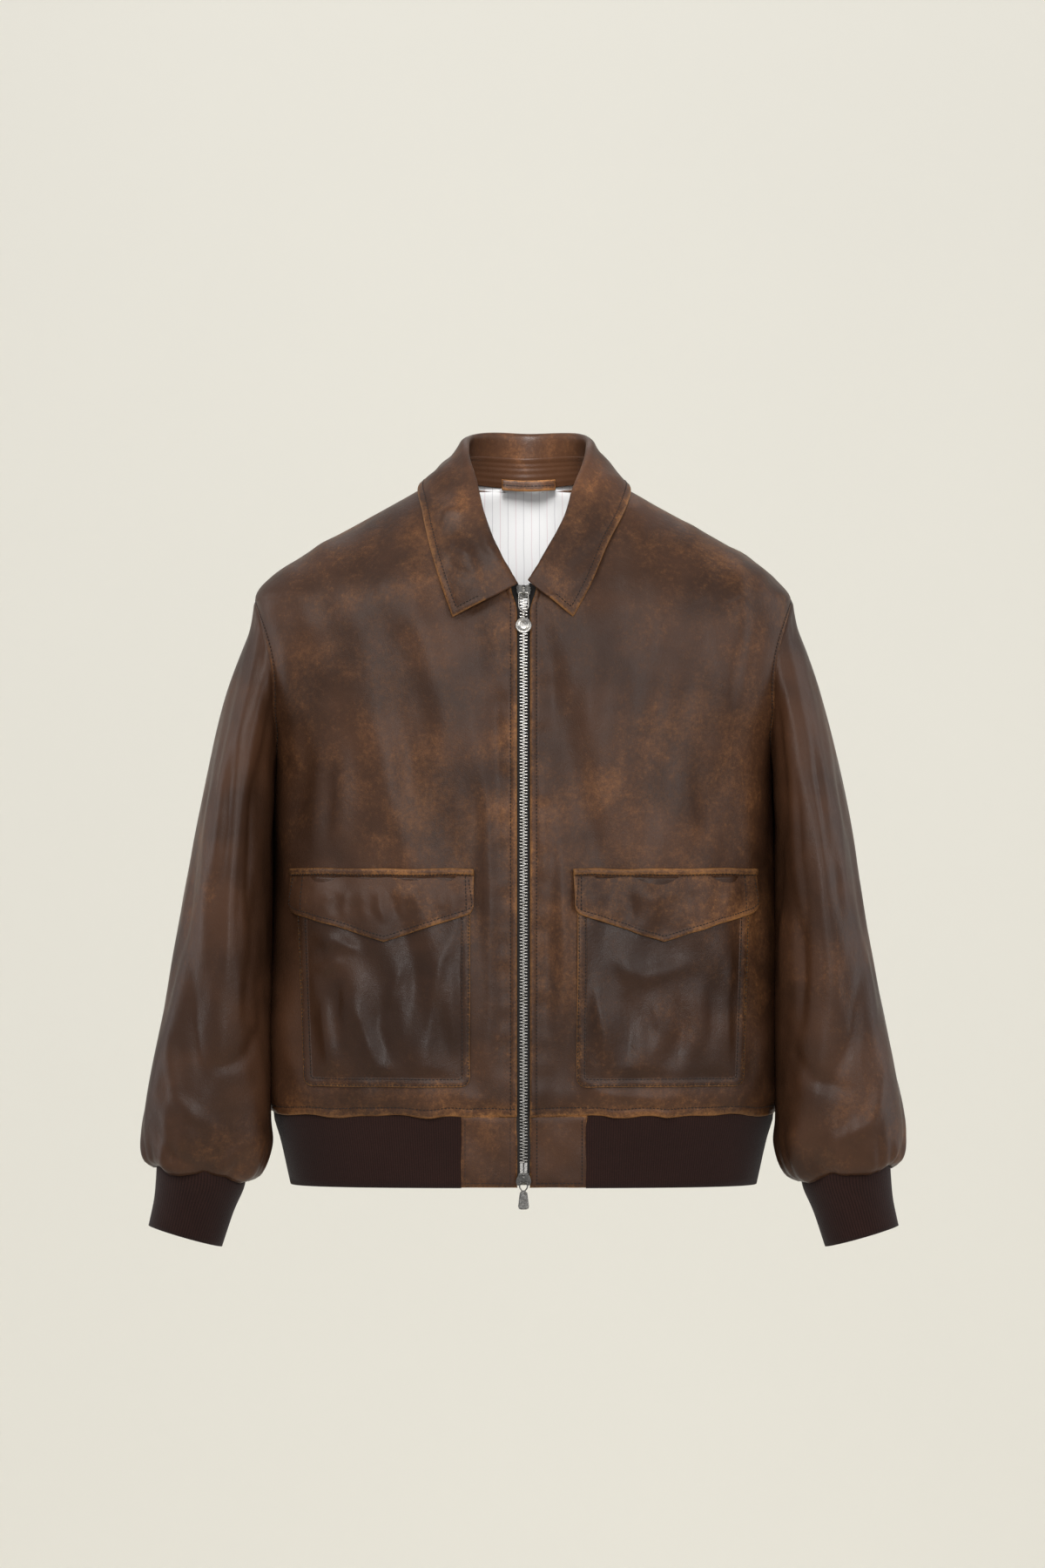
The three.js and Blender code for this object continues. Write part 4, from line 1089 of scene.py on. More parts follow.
def build_sleeve(side):
    """A sleeve from under the armhole's edge to the roll of leather over the cuff."""
    sign = SIDES[side]
    columns = int(372 / (sizes().grid * 1.05))
    angles = np.linspace(0, 2 * np.pi, columns, endpoint=False)
    grid, down, index = arm_rings(SLEEVE_RINGS, angles, int(560 / sizes().grid))
    seam = armhole_line(angles)
    first = grid[0].copy()
    settled = smoothstep(0, 4, index)[:, None, None]
    grid = grid + (seam - first) * (1 - settled)
    grid[..., 0] = np.maximum(grid[..., 0], body_x(grid[..., 1], grid[..., 2]) + ARM_CLEAR)
    grid[0] = seam
    tuck = seam + unit(seam.mean(0) - (34, 0, 0) - seam) * 6
    grid = np.concatenate([tuck[None], grid])
    down = np.r_[-7, down]
    degrees = np.degrees(angles)
    degrees = np.where(degrees > 180, degrees - 360, degrees)
    u, v = np.meshgrid(degrees, down)
    reach = 1.05  # millimetres of cloth to a degree round the arm
    height = Drape(71 if sign > 0 else 72, 90, 240, 2.2)(u * reach, v) + Drape(73, 30, 110, 0.5)(u * reach, v)
    for path, width, depth in SLEEVE_FOLDS[side]:
        height += crease(u * reach, v, [(a * reach, b) for a, b in path], width, depth)
    height *= 1 - 0.75 * bump(np.abs(u) - 178, 30)
    height *= smoothstep(-5, 45, v)
    height += 0.5 * np.sin(u * reach / 4.6 + 2 * np.sin(u / 23)) * bump(v - 12, 12) + 1.5 * bump(v - 20, 16)
    height -= 2.2 * (1 - smoothstep(-3, 4, v))
    end = down[-1] - v
    gathers = sum(np.sin(np.radians(u) * n + n * sign) for n in (7, 11, 16, 23)) / 2.2
    height += gathers * (1.5 * bump(end - 14, 13) + 0.5 * bump(end - 34, 20))
    out = grid_normals(grid, True)
    grid = grid + out * height[..., None]
    clear = body_x(grid[..., 1], grid[..., 2]) + ARM_CLEAR
    grid[..., 0] = np.where(v > 30, np.maximum(grid[..., 0], clear), grid[..., 0])
    wear = 0.20 * bump(v - 10, 18) + 0.34 * bump(end - 10, 12) + 0.14 * bump(v - 440, 90)
    if sign < 0:
        grid = (grid * (-1, 1, 1))[:, ::-1]
        wear = wear[:, ::-1]
    piece = add_shell(f"shell_sleeve_{side}", grid, sizes().leather, look("leather"), True, wear=wear)
    ride(piece, f"sleeve_{side}")
    declare(closed_up(grid))


def build_cuff(side):
    """A ribbed cuff, from inside the sleeve's end to the wrist."""
    sign = SIDES[side]
    angles = np.linspace(0, 2 * np.pi, 96, endpoint=False)
    if sign < 0:
        angles = angles[::-1]
    table = spline(CUFF_RINGS, 61)

    def line(share):
        out_x, out_z, in_x, in_z, depth, middle = (
            np.interp(share * 60, np.arange(61), table[:, k]) for k in range(6)
        )
        out = (1 + np.cos(angles)) / 2
        x, z = in_x + (out_x - in_x) * out, in_z + (out_z - in_z) * out
        ring = np.stack([x, middle - depth * np.sin(angles), z], -1)
        return ring * (sign, 1, 1)

    def sag(along, share):
        return 0.7 * np.sin(along / 19 + 2.2 * share) * share + 1.0 * bump(share - 0.45, 0.3)

    piece, grid = ribbed_shell(
        f"cuff_rib_{side}", line, sizes().cuff_rib, 0.75, 18, True, f"cuff_{side}", 6, 2.0, sag
    )
    declare(grid)


# ---- Helpers for pieces that follow a grid -----------------------------------------------------
def closed_up(grid):
    """A wrapped grid with its first column repeated at the end."""
    return np.concatenate([grid, grid[:, :1]], axis=1)


def declare(grid):
    """Measures the running lengths and the area of a piece's made grid, and keeps neither."""
    across, down = running_lengths(grid)
    first, second = grid[1:, 1:] - grid[:-1, :-1], grid[1:, :-1] - grid[:-1, 1:]
    area = np.linalg.norm(np.cross(first, second), axis=-1).sum() / 2 * MM**2


def on_grid(grid, rows, columns, out=0.1):
    """Points over a grid at fractional rows and columns, with their normals."""
    rows, columns = np.broadcast_arrays(np.asarray(rows, float), np.asarray(columns, float))
    i = np.clip(rows.astype(int), 0, grid.shape[0] - 2)
    j = np.clip(columns.astype(int), 0, grid.shape[1] - 2)
    a, b = (rows - i)[..., None], (columns - j)[..., None]

    def pick(table):
        top = table[i, j] * (1 - b) + table[i, j + 1] * b
        return top * (1 - a) + (table[i + 1, j] * (1 - b) + table[i + 1, j + 1] * b) * a

    normal = pick(grid_normals(grid))
    return pick(grid) + normal * out, normal


def inset_line(grid, inset, from_row=0, out=0.1):
    """A stitch line a distance inside the left, lower and right edges of a grid."""
    rows, columns = grid.shape[:2]
    across, down = running_lengths(grid)
    numbers = np.arange(columns)
    left = np.array([np.interp(inset, across[i], numbers) for i in range(rows)])
    right = np.array([np.interp(across[i, -1] - inset, across[i], numbers) for i in range(rows)])
    level = np.array([np.interp(down[-1, j] - inset, down[:, j], np.arange(rows)) for j in range(columns)])
    path = [(i, left[i]) for i in range(from_row, rows) if i < np.interp(left[i], numbers, level)]
    path += [(level[j], j) for j in range(columns) if left[-1] < j < right[-1]]
    back_up = reversed(range(from_row, rows))
    path += [(i, right[i]) for i in back_up if i < np.interp(right[i], numbers, level)]
    path = np.array(path)
    return on_grid(grid, path[:, 0], path[:, 1], out)


def topstitch_groove(distance, inset, depth=0.35):
    """The furrow that a stitch line pulls into the cloth, and the cord of the edge beside it."""
    return -depth * bump(distance - inset, 1.0) + 0.35 * bump(distance - inset / 2, inset / 3)


# ---- Collar ------------------------------------------------------------------------------------
# Stations from the wearer's right front, round the back, to the left front: the height of the neck seam, the
# fold's (x, y, z) and the edge's (x, y, z). An edge without y lies on the front.
COLLAR = [
    (-87, (-4, -112, -85), (-67, None, -118)), (-70, (-18, -104, -62), (-79, None, -84)),
    (-36, (-34, -80, -28), (-89, None, -50)), (-4, (-43, -52, 8), (-96, None, -18)),
    (14, (-50, -14, 42), (-99, 0, 9)), (11, (-42, 38, 59), (-72, 64, -4)), (7, (4, 66, 61), (0, 92, -12)),
    (11, (50, 38, 59), (74, 64, -4)), (14, (57, -14, 42), (101, 0, 9)), (-4, (47, -52, 8), (97, None, -14)),
    (-36, (36, -80, -26), (80, None, -48)), (-70, (16, -104, -62), (64, None, -86)),
    (-87, (3, -112, -82), (47, None, -118)),
]
STAND_SHARE = 0.55
STAND_ROWS = (0.44, 0.35, 0.24, 0.13)


def neck_point(z, station):
    """A point of the neck seam: on the neckline in front, on the body's ring behind."""
    if 3 < station < 9:
        side = (6 - station) / 2
        ring = half_ring(z, 1)
        point = ring_point(ring, z, ring[2][-1] * min(abs(side), 1) * 0.97)
        return point * (-np.sign(side) or 1, 1, 1)
    x = float(neck_x(z)) * (-1 if station < 6 else 1)
    return np.array([x, float(form_front(x, z)), z])


def clear_of_body(points, clearance):
    """Moves points that come too near the body's form out of it."""
    def depth(p):
        x, y, z = p[..., 0], p[..., 1], p[..., 2]
        reach = np.where(y < side_y(z), front_y(z), back_y(z)) - side_y(z)
        power = shape(z)
        width = np.maximum(half_width(z) - 1.8 * np.clip(z - 17, 0, None), 12)
        reach = reach * width / half_width(z)
        return (np.abs(x / width) ** power + np.abs((y - side_y(z)) / reach) ** power) ** (1 / power) - 1

    at = points.copy()
    for _ in range(8):
        here = depth(at)
        slope = np.stack([depth(at + 0.5 * axis) - here for axis in np.eye(3)], -1) * 2
        steep = np.maximum(np.linalg.norm(slope, axis=-1), 1e-4)
        short = np.clip(clearance - here / steep, 0, 6)
        at = at + slope / steep[..., None] * short[..., None]
    return at


def spread(push):
    """The displacement, carried smoothly into the cloth round the places that need it."""
    soft = push
    for _ in range(80):
        wide = np.pad(soft, ((1, 1), (1, 1), (0, 0)), mode="edge")
        mean = (wide[2:, 1:-1] + wide[:-2, 1:-1] + wide[1:-1, 2:] + wide[1:-1, :-2]) / 4
        more = np.linalg.norm(mean, axis=-1, keepdims=True) > np.linalg.norm(push, axis=-1, keepdims=True)
        soft = np.where(more, mean, push)
    return soft


def collar_lines(count):
    """The neck seam, the fold and the edge of the collar."""
    seam = spline([neck_point(z, i) for i, (z, _, _) in enumerate(COLLAR)], count)
    fold = spline([f for _, f, _ in COLLAR], count)
    edge = spline([(x, form_front(x, z) - 4 if y is None else y, z) for _, _, (x, y, z) in COLLAR], count)
    return seam, fold, edge


def collar_grid(count, rows):
    """Sections over the fold, from the top of the stand to the edge of the fall."""
    seam, fold, edge = collar_lines(count)
    rise, fall = fold - seam, edge - fold
    crest = unit(unit(rise) - unit(fall))
    side = unit(fall - (fall * crest).sum(-1, keepdims=True) * crest)
    turn = np.minimum(4.2, 0.33 * np.linalg.norm(rise, axis=-1, keepdims=True) + 0.8)
    start = seam + (fold - seam) * STAND_SHARE
    inside, top = fold - crest * turn, fold + side * turn
    outside = inside + side * 2 * turn
    quarter = outside + (edge - outside) * 0.22 + crest * 2.6
    middle = outside + (edge - outside) * 0.55 + crest * 3.2
    knots = np.stack([start, inside, top, outside, quarter, middle, edge])
    sections = [evenly(spline(knots[:, i], 120), count=rows) for i in range(count)]
    return np.stack(sections, 1)


def build_collar():
    """The two-layer collar: the band over the stand, the fold, and the pointed fall with its topstitch."""
    grid = collar_grid(210, 44)
    across, down = running_lengths(grid)
    to_edge = down[-1] - down
    past_fold = smoothstep(16, 24, np.arange(44))[:, None]
    u, v = across, down
    calm = smoothstep(0, 12, to_edge) * smoothstep(0, 10, edge_distance(grid))
    height = Drape(81, 60, 60, 0.8)(u, v) * calm * (0.25 + 0.75 * past_fold)
    height += past_fold * (2.0 * bump(to_edge - 26, 16) - 0.6 * bump(to_edge - 3, 6))
    height = with_folds(height, u, to_edge, COLLAR_FOLDS)
    near = np.minimum(to_edge, np.minimum(across, across[:, -1:] - across) + 40 * (1 - past_fold))
    height += topstitch_groove(near, 6.5) * past_fold
    grid = grid[:, ::-1]
    height, near = height[:, ::-1], near[:, ::-1]
    grid = grid + grid_normals(grid) * height[..., None]
    past_crest = smoothstep(20, 27, np.arange(44))[:, None, None]
    push = (clear_of_body(grid, sizes().collar_leather + 1.5) - grid) * past_crest
    grid = grid + spread(push) * past_crest
    crest_line = bump(down[:, ::-1] - down[20, ::-1], 7)
    wear = 0.22 * crest_line + 0.10 * past_fold
    rubbed = near + 30 * (1 - past_fold)
    piece = add_shell(
        "shell_collar", grid, sizes().collar_leather, look("collar_leather"),
        wear=wear, edge=np.maximum(rubbed, 0)
    )
    ride(piece, "collar")
    SEAMS["collar"] = [inset_line(grid, 6.5, 26)]
    declare(grid)


COLLAR_FOLDS = [
    ([(40, 40), (62, 24), (80, 30)], 5, 2.4), ([(20, 34), (44, 16), (60, 12)], 5, -1.6),
    ([(96, 48), (104, 24), (100, 10)], 7, 1.8), ([(30, 60), (50, 52), (74, 56)], 5, 1.8),
    ([(330, 44), (350, 26), (366, 18)], 6, 2.2), ([(300, 40), (306, 24), (300, 12)], 7, 1.6),
    ([(352, 52), (372, 40), (386, 42)], 5, -1.6), ([(200, 40), (214, 24), (226, 12)], 10, 1.8),
]


def build_stand():
    """The collar's stand inside the neck, with rows of stitches, and the neck seam under it."""
    seam, fold, _ = collar_lines(230)
    shares = np.linspace(0.03, STAND_SHARE + 0.03, 26)[:, None, None]
    keep = slice(26, -26)
    grid = (seam + (fold - seam) * shares)[:, keep][::-1, ::-1]
    height = 1.9 - 0.9 * bump(shares[::-1, :, 0] - STAND_SHARE, 0.05)
    for row in STAND_ROWS:
        height = height - 0.5 * bump((shares[::-1, :, 0] - row) * 52, 0.9)
    ends = np.minimum(np.arange(grid.shape[1]), np.arange(grid.shape[1])[::-1])
    height = height * smoothstep(-4, 8, ends)[None]
    grid = grid + grid_normals(grid) * height[..., None]
    piece = add_shell("shell_collar_stand", grid, sizes().leather, look("collar_leather"), wear=0.04)
    ride(piece, "collar_stand")
    rows = [(STAND_SHARE + 0.03 - row) / STAND_SHARE * 25 for row in STAND_ROWS]
    columns = np.linspace(2, grid.shape[1] - 3, 160)
    SEAMS["collar_stand"] = [on_grid(grid, np.full(160, row), columns, 0.1) for row in rows]
    declare(grid)


def build_hanger_loop():
    """A strip sewn across under the stand, worn along its low edge."""
    x = np.linspace(-26, 26, 44)
    rows = np.linspace(16.6, 6.2, 9)
    lift = 3.6 * (1 - (x / 26) ** 2) + 0.9 * np.sin(x / 7)
    sagging = 1.4 * np.sin(x / 52 * np.pi + np.pi / 2)
    low = np.broadcast_to(smoothstep(5, 8, np.arange(9))[:, None], (9, 44))
    grid = np.stack([
        np.broadcast_to(x + 5, (9, 44)),
        np.broadcast_to(56.4 - lift + np.abs(x) * 0.02, (9, 44)),
        rows[:, None] - sagging[None] + 1.0,
    ], -1)
    piece = add_shell("shell_hanger_loop", grid, 1.7, look("collar_leather"), wear=0.6 * low)
    ride(piece, "hanger_loop")
    SEAMS["hanger_loop"] = [on_grid(grid, np.full(40, 4.0), np.linspace(0.5, 42.5, 40))]
    declare(grid)


# ---- Pockets -----------------------------------------------------------------------------------
POCKET = {"inner": 50, "outer": 213, "top": -362, "bottom": -560, "edge": 9.0, "taper": 6, "corner": 9}
FLAP = {"inner": 46, "outer": 218, "top": -354, "band": 7, "corner": -396, "point": -423, "middle": 131}
POCKET_FOLDS = {
    "right": [
        ([(186, -462), (184, -500), (178, -552)], 5.5, 3.0),
        ([(164, -470), (150, -506), (138, -546)], 6.5, 2.8),
        ([(114, -440), (122, -468), (126, -490)], 4.5, 2.0),
        ([(60, -408), (79, -441), (86, -478), (90, -540)], 7, 3.0),
        ([(64, -430), (62, -490), (66, -540)], 5, 1.8), ([(198, -420), (172, -424), (146, -434)], 6, 2.6),
        ([(196, -452), (180, -446), (166, -440)], 5, 2.2), ([(172, -450), (176, -490), (168, -540)], 6, -2.4),
        ([(132, -470), (136, -505), (122, -545)], 7, -2.2),
        ([(100, -430), (104, -480), (106, -530)], 7, -2.2),
    ],
    "left": [
        ([(70, -436), (112, -456), (176, -438)], 9, 2.4), ([(66, -462), (76, -512), (80, -550)], 6, 2.6),
        ([(196, -428), (188, -480), (194, -545)], 7, 2.4), ([(118, -466), (130, -508), (118, -548)], 9, 2.2),
        ([(160, -452), (164, -500), (156, -546)], 7, 2.0), ([(94, -456), (100, -500), (98, -548)], 7, -2.2),
        ([(142, -460), (148, -505), (140, -548)], 6, -2.0),
        ([(178, -440), (178, -490), (176, -540)], 6, -2.0),
    ],
}
FLAP_FOLDS = {
    "right": [
        ([(163, -374), (166, -392), (168, -404)], 3.2, 1.7),
        ([(133, -370), (134, -390), (128, -408)], 3.4, 1.9),
        ([(180, -376), (186, -392), (188, -398)], 3.6, 1.4),
        ([(150, -372), (150, -390), (148, -406)], 3.4, 1.1),
        ([(112, -374), (114, -388), (112, -402)], 3.2, 1.2), ([(99, -372), (99, -386), (97, -396)], 3.4, 1.1),
        ([(78, -372), (80, -384), (76, -394)], 5, 0.8), ([(122, -376), (122, -392), (120, -402)], 3.4, -1.2),
        ([(141, -376), (142, -392), (138, -404)], 3.4, -1.1),
        ([(172, -376), (176, -392), (178, -400)], 3.4, -1.2),
    ],
    "left": [
        ([(84, -374), (88, -390), (84, -402)], 4, 1.0), ([(120, -372), (122, -392), (118, -410)], 4.4, 1.2),
        ([(158, -374), (156, -390), (160, -404)], 4, 1.0), ([(190, -374), (188, -388), (192, -398)], 4, 0.9),
        ([(104, -376), (104, -392), (102, -404)], 4, -0.9),
        ([(140, -376), (140, -394), (138, -408)], 4, -0.9),
    ],
}


def pocket_outer(z):
    """The pocket's outer edge, which tapers downwards."""
    down = (POCKET["top"] - z) / (POCKET["top"] - POCKET["bottom"])
    return POCKET["outer"] - POCKET["taper"] * down


def pocket_height(side, x, z):
    """How far the pocket's bag stands off the front, away from its sewn edges."""
    inside = np.minimum(np.minimum(x - POCKET["inner"], pocket_outer(z) - x), z - POCKET["bottom"])
    height = 1.6 + Drape(91 if side == "left" else 92, 60, 90, 0.9)(x, z)
    height = with_folds(height, x, z, POCKET_FOLDS[side])
    return 2.3 + np.maximum(height, -1.2) * smoothstep(7, 20, inside)


def strip_path(inset, count):
    """Down the outer edge, round the corner, along the bottom, and up the inner edge."""
    low, corner = POCKET["bottom"] + inset, max(POCKET["corner"] - inset * 0.9, 0.8)
    outer, inner = pocket_outer(low) - inset, POCKET["inner"] + inset
    turn = np.linspace(0, np.pi / 2, 9)
    path = [(pocket_outer(POCKET["top"]) - inset, POCKET["top"])]
    path += [(outer - corner + corner * math.cos(a), low + corner - corner * math.sin(a)) for a in turn]
    path += [(inner + corner - corner * math.sin(a), low + corner - corner * math.cos(a)) for a in turn]
    path += [(inner, POCKET["top"])]
    return evenly(path, count=count)


def build_pocket(side):
    """A pocket's bag and the strip along its edge, double-stitched to the front."""
    sign, surface = SIDES[side], SURFACES[side]
    rows = np.linspace(POCKET["top"], POCKET["bottom"] + 6.2, 74)
    share = np.linspace(0, 1, 62)
    x = (POCKET["inner"] + 6.2) * (1 - share) + (pocket_outer(rows)[:, None] - 6.2) * share
    z = np.broadcast_to(rows[:, None], x.shape)
    grid = surface.at(sign * x, z, pocket_height(side, x, z))
    if sign < 0:
        grid = grid[:, ::-1]
    bag = add_shell(
        f"shell_pocket_{side}", grid, 1.7, look("pocket_leather"), wear=-0.05, edge=edge_distance(grid) + 30
    )
    ride(bag, f"pocket_{side}")
    insets = np.array([0, 0.5, 1.6, 3.2, 5.0, 6.8, 8.0, POCKET["edge"]])
    paths = [strip_path(inset, 190) for inset in insets]
    strip = np.stack([
        surface.at(
            sign * p[:, 0], p[:, 1],
            2.75 + topstitch_groove(inset, 1.7, 0.4) + topstitch_groove(inset, 7.6, 0.4),
        )
        for p, inset in zip(paths, insets)
    ])
    if sign > 0:
        strip = strip[:, ::-1]
    strip = strip[::-1]
    edge = insets[::-1, None] + 0 * strip[..., 0]
    band = add_shell(f"shell_pocket_edge_{side}", strip, 2.2, look("pocket_leather"), wear=0.16, edge=edge)
    ride(band, f"pocket_edge_{side}")
    along = np.linspace(0, 189, 400)
    SEAMS.setdefault("pocket", []).extend([
        on_grid(strip, np.full(400, 5.05), along, 0.15), on_grid(strip, np.full(400, 1.3), along, 0.15),
    ])
    declare(grid)


def flap_low(x):
    """The flap's lower edge: two straight runs to the point, with rounded outer corners."""
    slope = np.where(x < FLAP["middle"], (x - FLAP["inner"]) / (FLAP["middle"] - FLAP["inner"]),
                     (FLAP["outer"] - x) / (FLAP["outer"] - FLAP["middle"]))
    low = FLAP["corner"] + (FLAP["point"] - FLAP["corner"]) * slope
    side = np.minimum(x - FLAP["inner"], FLAP["outer"] - x)
    return low + 8.0 * (1 - np.sqrt(1 - (1 - np.clip(side / 8.0, 0, 1)) ** 2))


def build_flap(side):
    """A pointed flap hanging from its sewn band over the pocket's mouth."""
    sign, surface = SIDES[side], SURFACES[side]
    x = np.linspace(FLAP["inner"], FLAP["outer"], 84)
    near_edge = np.array([0.25, 0.8, 1.4])
    x = np.sort(np.r_[x, FLAP["inner"] + near_edge, FLAP["outer"] - near_edge])
    share = np.r_[np.linspace(0, 0.9, 24), 0.94, 0.965, 0.985, 1.0][:, None]
    top = FLAP["top"] - 3.5
    z = top + (flap_low(x)[None] - top) * share
    x = np.broadcast_to(x, z.shape)
    inside = np.minimum(np.minimum(x - FLAP["inner"], FLAP["outer"] - x), z - flap_low(x))
    hang = smoothstep(0, 26, top - z)
    height = 3.3 + (np.maximum(pocket_height(side, x, z), 2.3) - 0.6) * hang + 0.6 * hang
    height = with_folds(height, x, z, FLAP_FOLDS[side])
    drape = Drape(95 if sign > 0 else 96, 40, 40, 0.5)
    height = height + drape(x, z) * hang + topstitch_groove(inside, 5.2, 0.45)
    height = height - 1.3 * bump(top - z, 3)
    grid = surface.at(sign * x, z, height)
    if sign < 0:
        grid = grid[:, ::-1]
    piece = add_shell(f"shell_flap_{side}", grid, 1.8, look("leather"), wear=0.16)
    ride(piece, f"flap_{side}")
    SEAMS.setdefault("flap", []).append(inset_line(grid, 5.2, 4, 0.12))
    band_x = np.linspace(FLAP["inner"] - 0.4, FLAP["outer"] + 0.4, 80)
    band_z = np.linspace(FLAP["top"], FLAP["top"] - FLAP["band"], 9)[:, None] + 0.25 * np.sin(band_x / 9)
    down = (FLAP["top"] - band_z) / FLAP["band"]
    puff = 5.0 + 0.9 * np.sin(np.pi * np.clip(down, 0, 1)) + 0.25 * np.sin(band_x / 6.1 + sign)
    band_grid = surface.at(sign * np.broadcast_to(band_x, band_z.shape), band_z, puff)
    if sign < 0:
        band_grid = band_grid[:, ::-1]
    band = add_shell(f"shell_flap_band_{side}", band_grid, 3.6, look("leather"), wear=0.26)
    ride(band, f"flap_band_{side}")
    SEAMS["flap"].append(on_grid(band_grid, np.full(90, 7.2), np.linspace(1, 78, 90), 0.12))
    for x_at in (FLAP["inner"] + 8.2, FLAP["outer"] - 8.2):
        z_at = np.linspace(top - 4, flap_low(np.array(x_at)) + 5, 24)
        column = np.interp(sign * x_at, grid[12, :, 0], np.arange(grid.shape[1]))
        rows = np.interp(-z_at, -grid[:, int(column), 2], np.arange(grid.shape[0]))
        SEAMS["flap"].append(on_grid(grid, rows, np.full(24, column), 0.12))
    declare(grid)


# ---- Zip ---------------------------------------------------------------------------------------
ZIP_TOP, ZIP_BOTTOM = -92, -648
TEETH_REACH, TEETH_MIDDLE = 3.7, 2.3
TAPE_FROM, TAPE_TO, TAPE_THICK = 0.9, 15.0, 0.8
SLIDER = {"width": 14, "length": 12, "narrow": 10.5, "plate": 1.6, "front": -0.4, "back": 4.4}
BRIDGE = {"near": 2.2, "far": 9.4, "reach": 3.6, "bar": 1.1}
WIRE = 1.3
BOTTOM_SLIDER_Z = -652.5


class Metal:
    """Collects bevelled plates, discs and wires into one piece. Sizes are in millimetres, fronts face -Y."""

    def __init__(self, frame=None):
        self.frame = frame or Matrix()
        self.points, self.faces, self.flat = [], [], []

    def add(self, points, faces):
        base = len(self.points)
        self.points += [tuple(self.frame @ Vector(p)) for p in points]
        self.faces += [[base + i for i in face] for face in faces]

    def plate(self, outline, front, back, bevel=0.3):
        """An outline in x and z between two depths, with its front and back edges bevelled."""
        outline = np.asarray(outline, float)
        toward = unit(np.roll(outline, -1, 0) - outline)
        before = np.roll(toward, 1, 0)
        turn = toward[:, 0] * before[:, 1] - toward[:, 1] * before[:, 0]
        area = (outline[:, 0] * np.roll(outline[:, 1], -1) - np.roll(outline[:, 0], -1) * outline[:, 1]).sum()
        inward = np.stack([-(toward + before)[:, 1], (toward + before)[:, 0]], 1) * (1 if area > 0 else -1)
        inward = unit(inward) * (bevel / np.sqrt(np.clip(1 - turn**2 / 2, 0.3, 1)))[:, None]
        rings = [
            (outline + inward, front), (outline + inward * 0.3, front + 0.3 * bevel),
            (outline, front + bevel), (outline, back - bevel),
            (outline + inward * 0.3, back - 0.3 * bevel), (outline + inward, back),
        ]
        n = len(outline)
        points = [(x, y, z) for ring, y in rings for x, z in ring]
        faces = [
            [r * n + i, r * n + (i + 1) % n, (r + 1) * n + (i + 1) % n, (r + 1) * n + i]
            for r in range(5) for i in range(n)
        ]
        faces += [list(range(n))[::-1], [5 * n + i for i in range(n)]]
        if area < 0:
            faces = [face[::-1] for face in faces]
        self.add(points, [face[::-1] for face in faces])

    def turned(self, profile, centre, sides=48, notch=0.0):
        """A disc seen from the front: (radius, y) pairs swept round, with a notched rim if asked."""
        x0, z0 = centre
        points, faces = [], []
        for radius, y in profile:
            for k in range(sides):
                r = radius * (1 - notch * (k % 2) * (radius > 7))
                a = 2 * math.pi * k / sides
                points.append((x0 + r * math.cos(a), y, z0 + r * math.sin(a)))
        for i in range(len(profile) - 1):
            for k in range(sides):
                j = (k + 1) % sides
                faces.append([i * sides + k, (i + 1) * sides + k, (i + 1) * sides + j, i * sides + j])
        last = (len(profile) - 1) * sides
        faces += [list(range(sides)), [last + k for k in range(sides)][::-1]]
        self.add(points, faces)

    def wire(self, path, radius, closed=False):
        """A round wire along points (x, y, z)."""
        sides = 10
        path = np.asarray(path, float)
        ahead = np.roll(path, -1, 0) - np.roll(path, 1, 0) if closed else np.gradient(path, axis=0)
        ahead = unit(ahead)
        side = unit(np.cross(ahead, (0.13, 1, 0.07)))
        up = np.cross(side, ahead)
        a = np.linspace(0, 2 * np.pi, sides, endpoint=False)
        around = np.cos(a)[:, None] * side[:, None] + np.sin(a)[:, None] * up[:, None]
        rings = path[:, None] + radius * around
        n = len(path)
        faces = []
        for i in range(n if closed else n - 1):
            for k in range(sides):
                j, m = (k + 1) % sides, (i + 1) % n
                faces.append([i * sides + k, i * sides + j, m * sides + j, m * sides + k])
        if not closed:
            faces += [list(range(sides))[::-1], [(n - 1) * sides + k for k in range(sides)]]
        self.add(rings.reshape(-1, 3).tolist(), faces)

    def finish(self, name, node, body=BODY, finish="zip_metal"):
        piece = add_object(name, self.points, self.faces, look(finish), smooth_faces=False)
        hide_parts(node)
        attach(piece, body)
        return piece


def lean_over(high, low):
    """How far the front leans between two heights."""
    return math.atan2(front_y(high) - front_y(low), high - low)


def slider_frame(z, flipped):
    """Where a slider sits on the teeth, turned over if it faces the hem."""
    length = SLIDER["length"]
    lean = lean_over(z + length, z) if flipped else lean_over(z, z - length)
    flip = Matrix.Rotation(math.pi, 4, "Z") @ Matrix.Rotation(math.pi, 4, "X") if flipped else Matrix()
    return Matrix.Translation((0, float(front_y(z)), z)) @ Matrix.Rotation(-lean, 4, "X") @ flip


def build_zip_tape(side):
    """The woven tape that the teeth are clamped to, running behind the front's folded edge."""
    sign = SIDES[side]
    z = np.linspace(ZIP_TOP + 6, ZIP_BOTTOM - 3, 240)[:, None]
    x = np.linspace(TAPE_FROM, TAPE_TO, 8)[None] + 0.12 * np.sin(z / 6.3)
    splay = 4.2 * smoothstep(-118, -92, z)
    grid = np.stack([x + splay, front_y(z) + TEETH_MIDDLE - 0.4 + 0 * x, z + 0 * x], -1)
    if sign < 0:
        grid = (grid * (-1, 1, 1))[:, ::-1]
    piece = add_shell(f"zip_tape_cloth_{side}", grid, TAPE_THICK, look("zip_tape"))
    ride(piece, f"zip_tape_{side}")
    declare(grid)


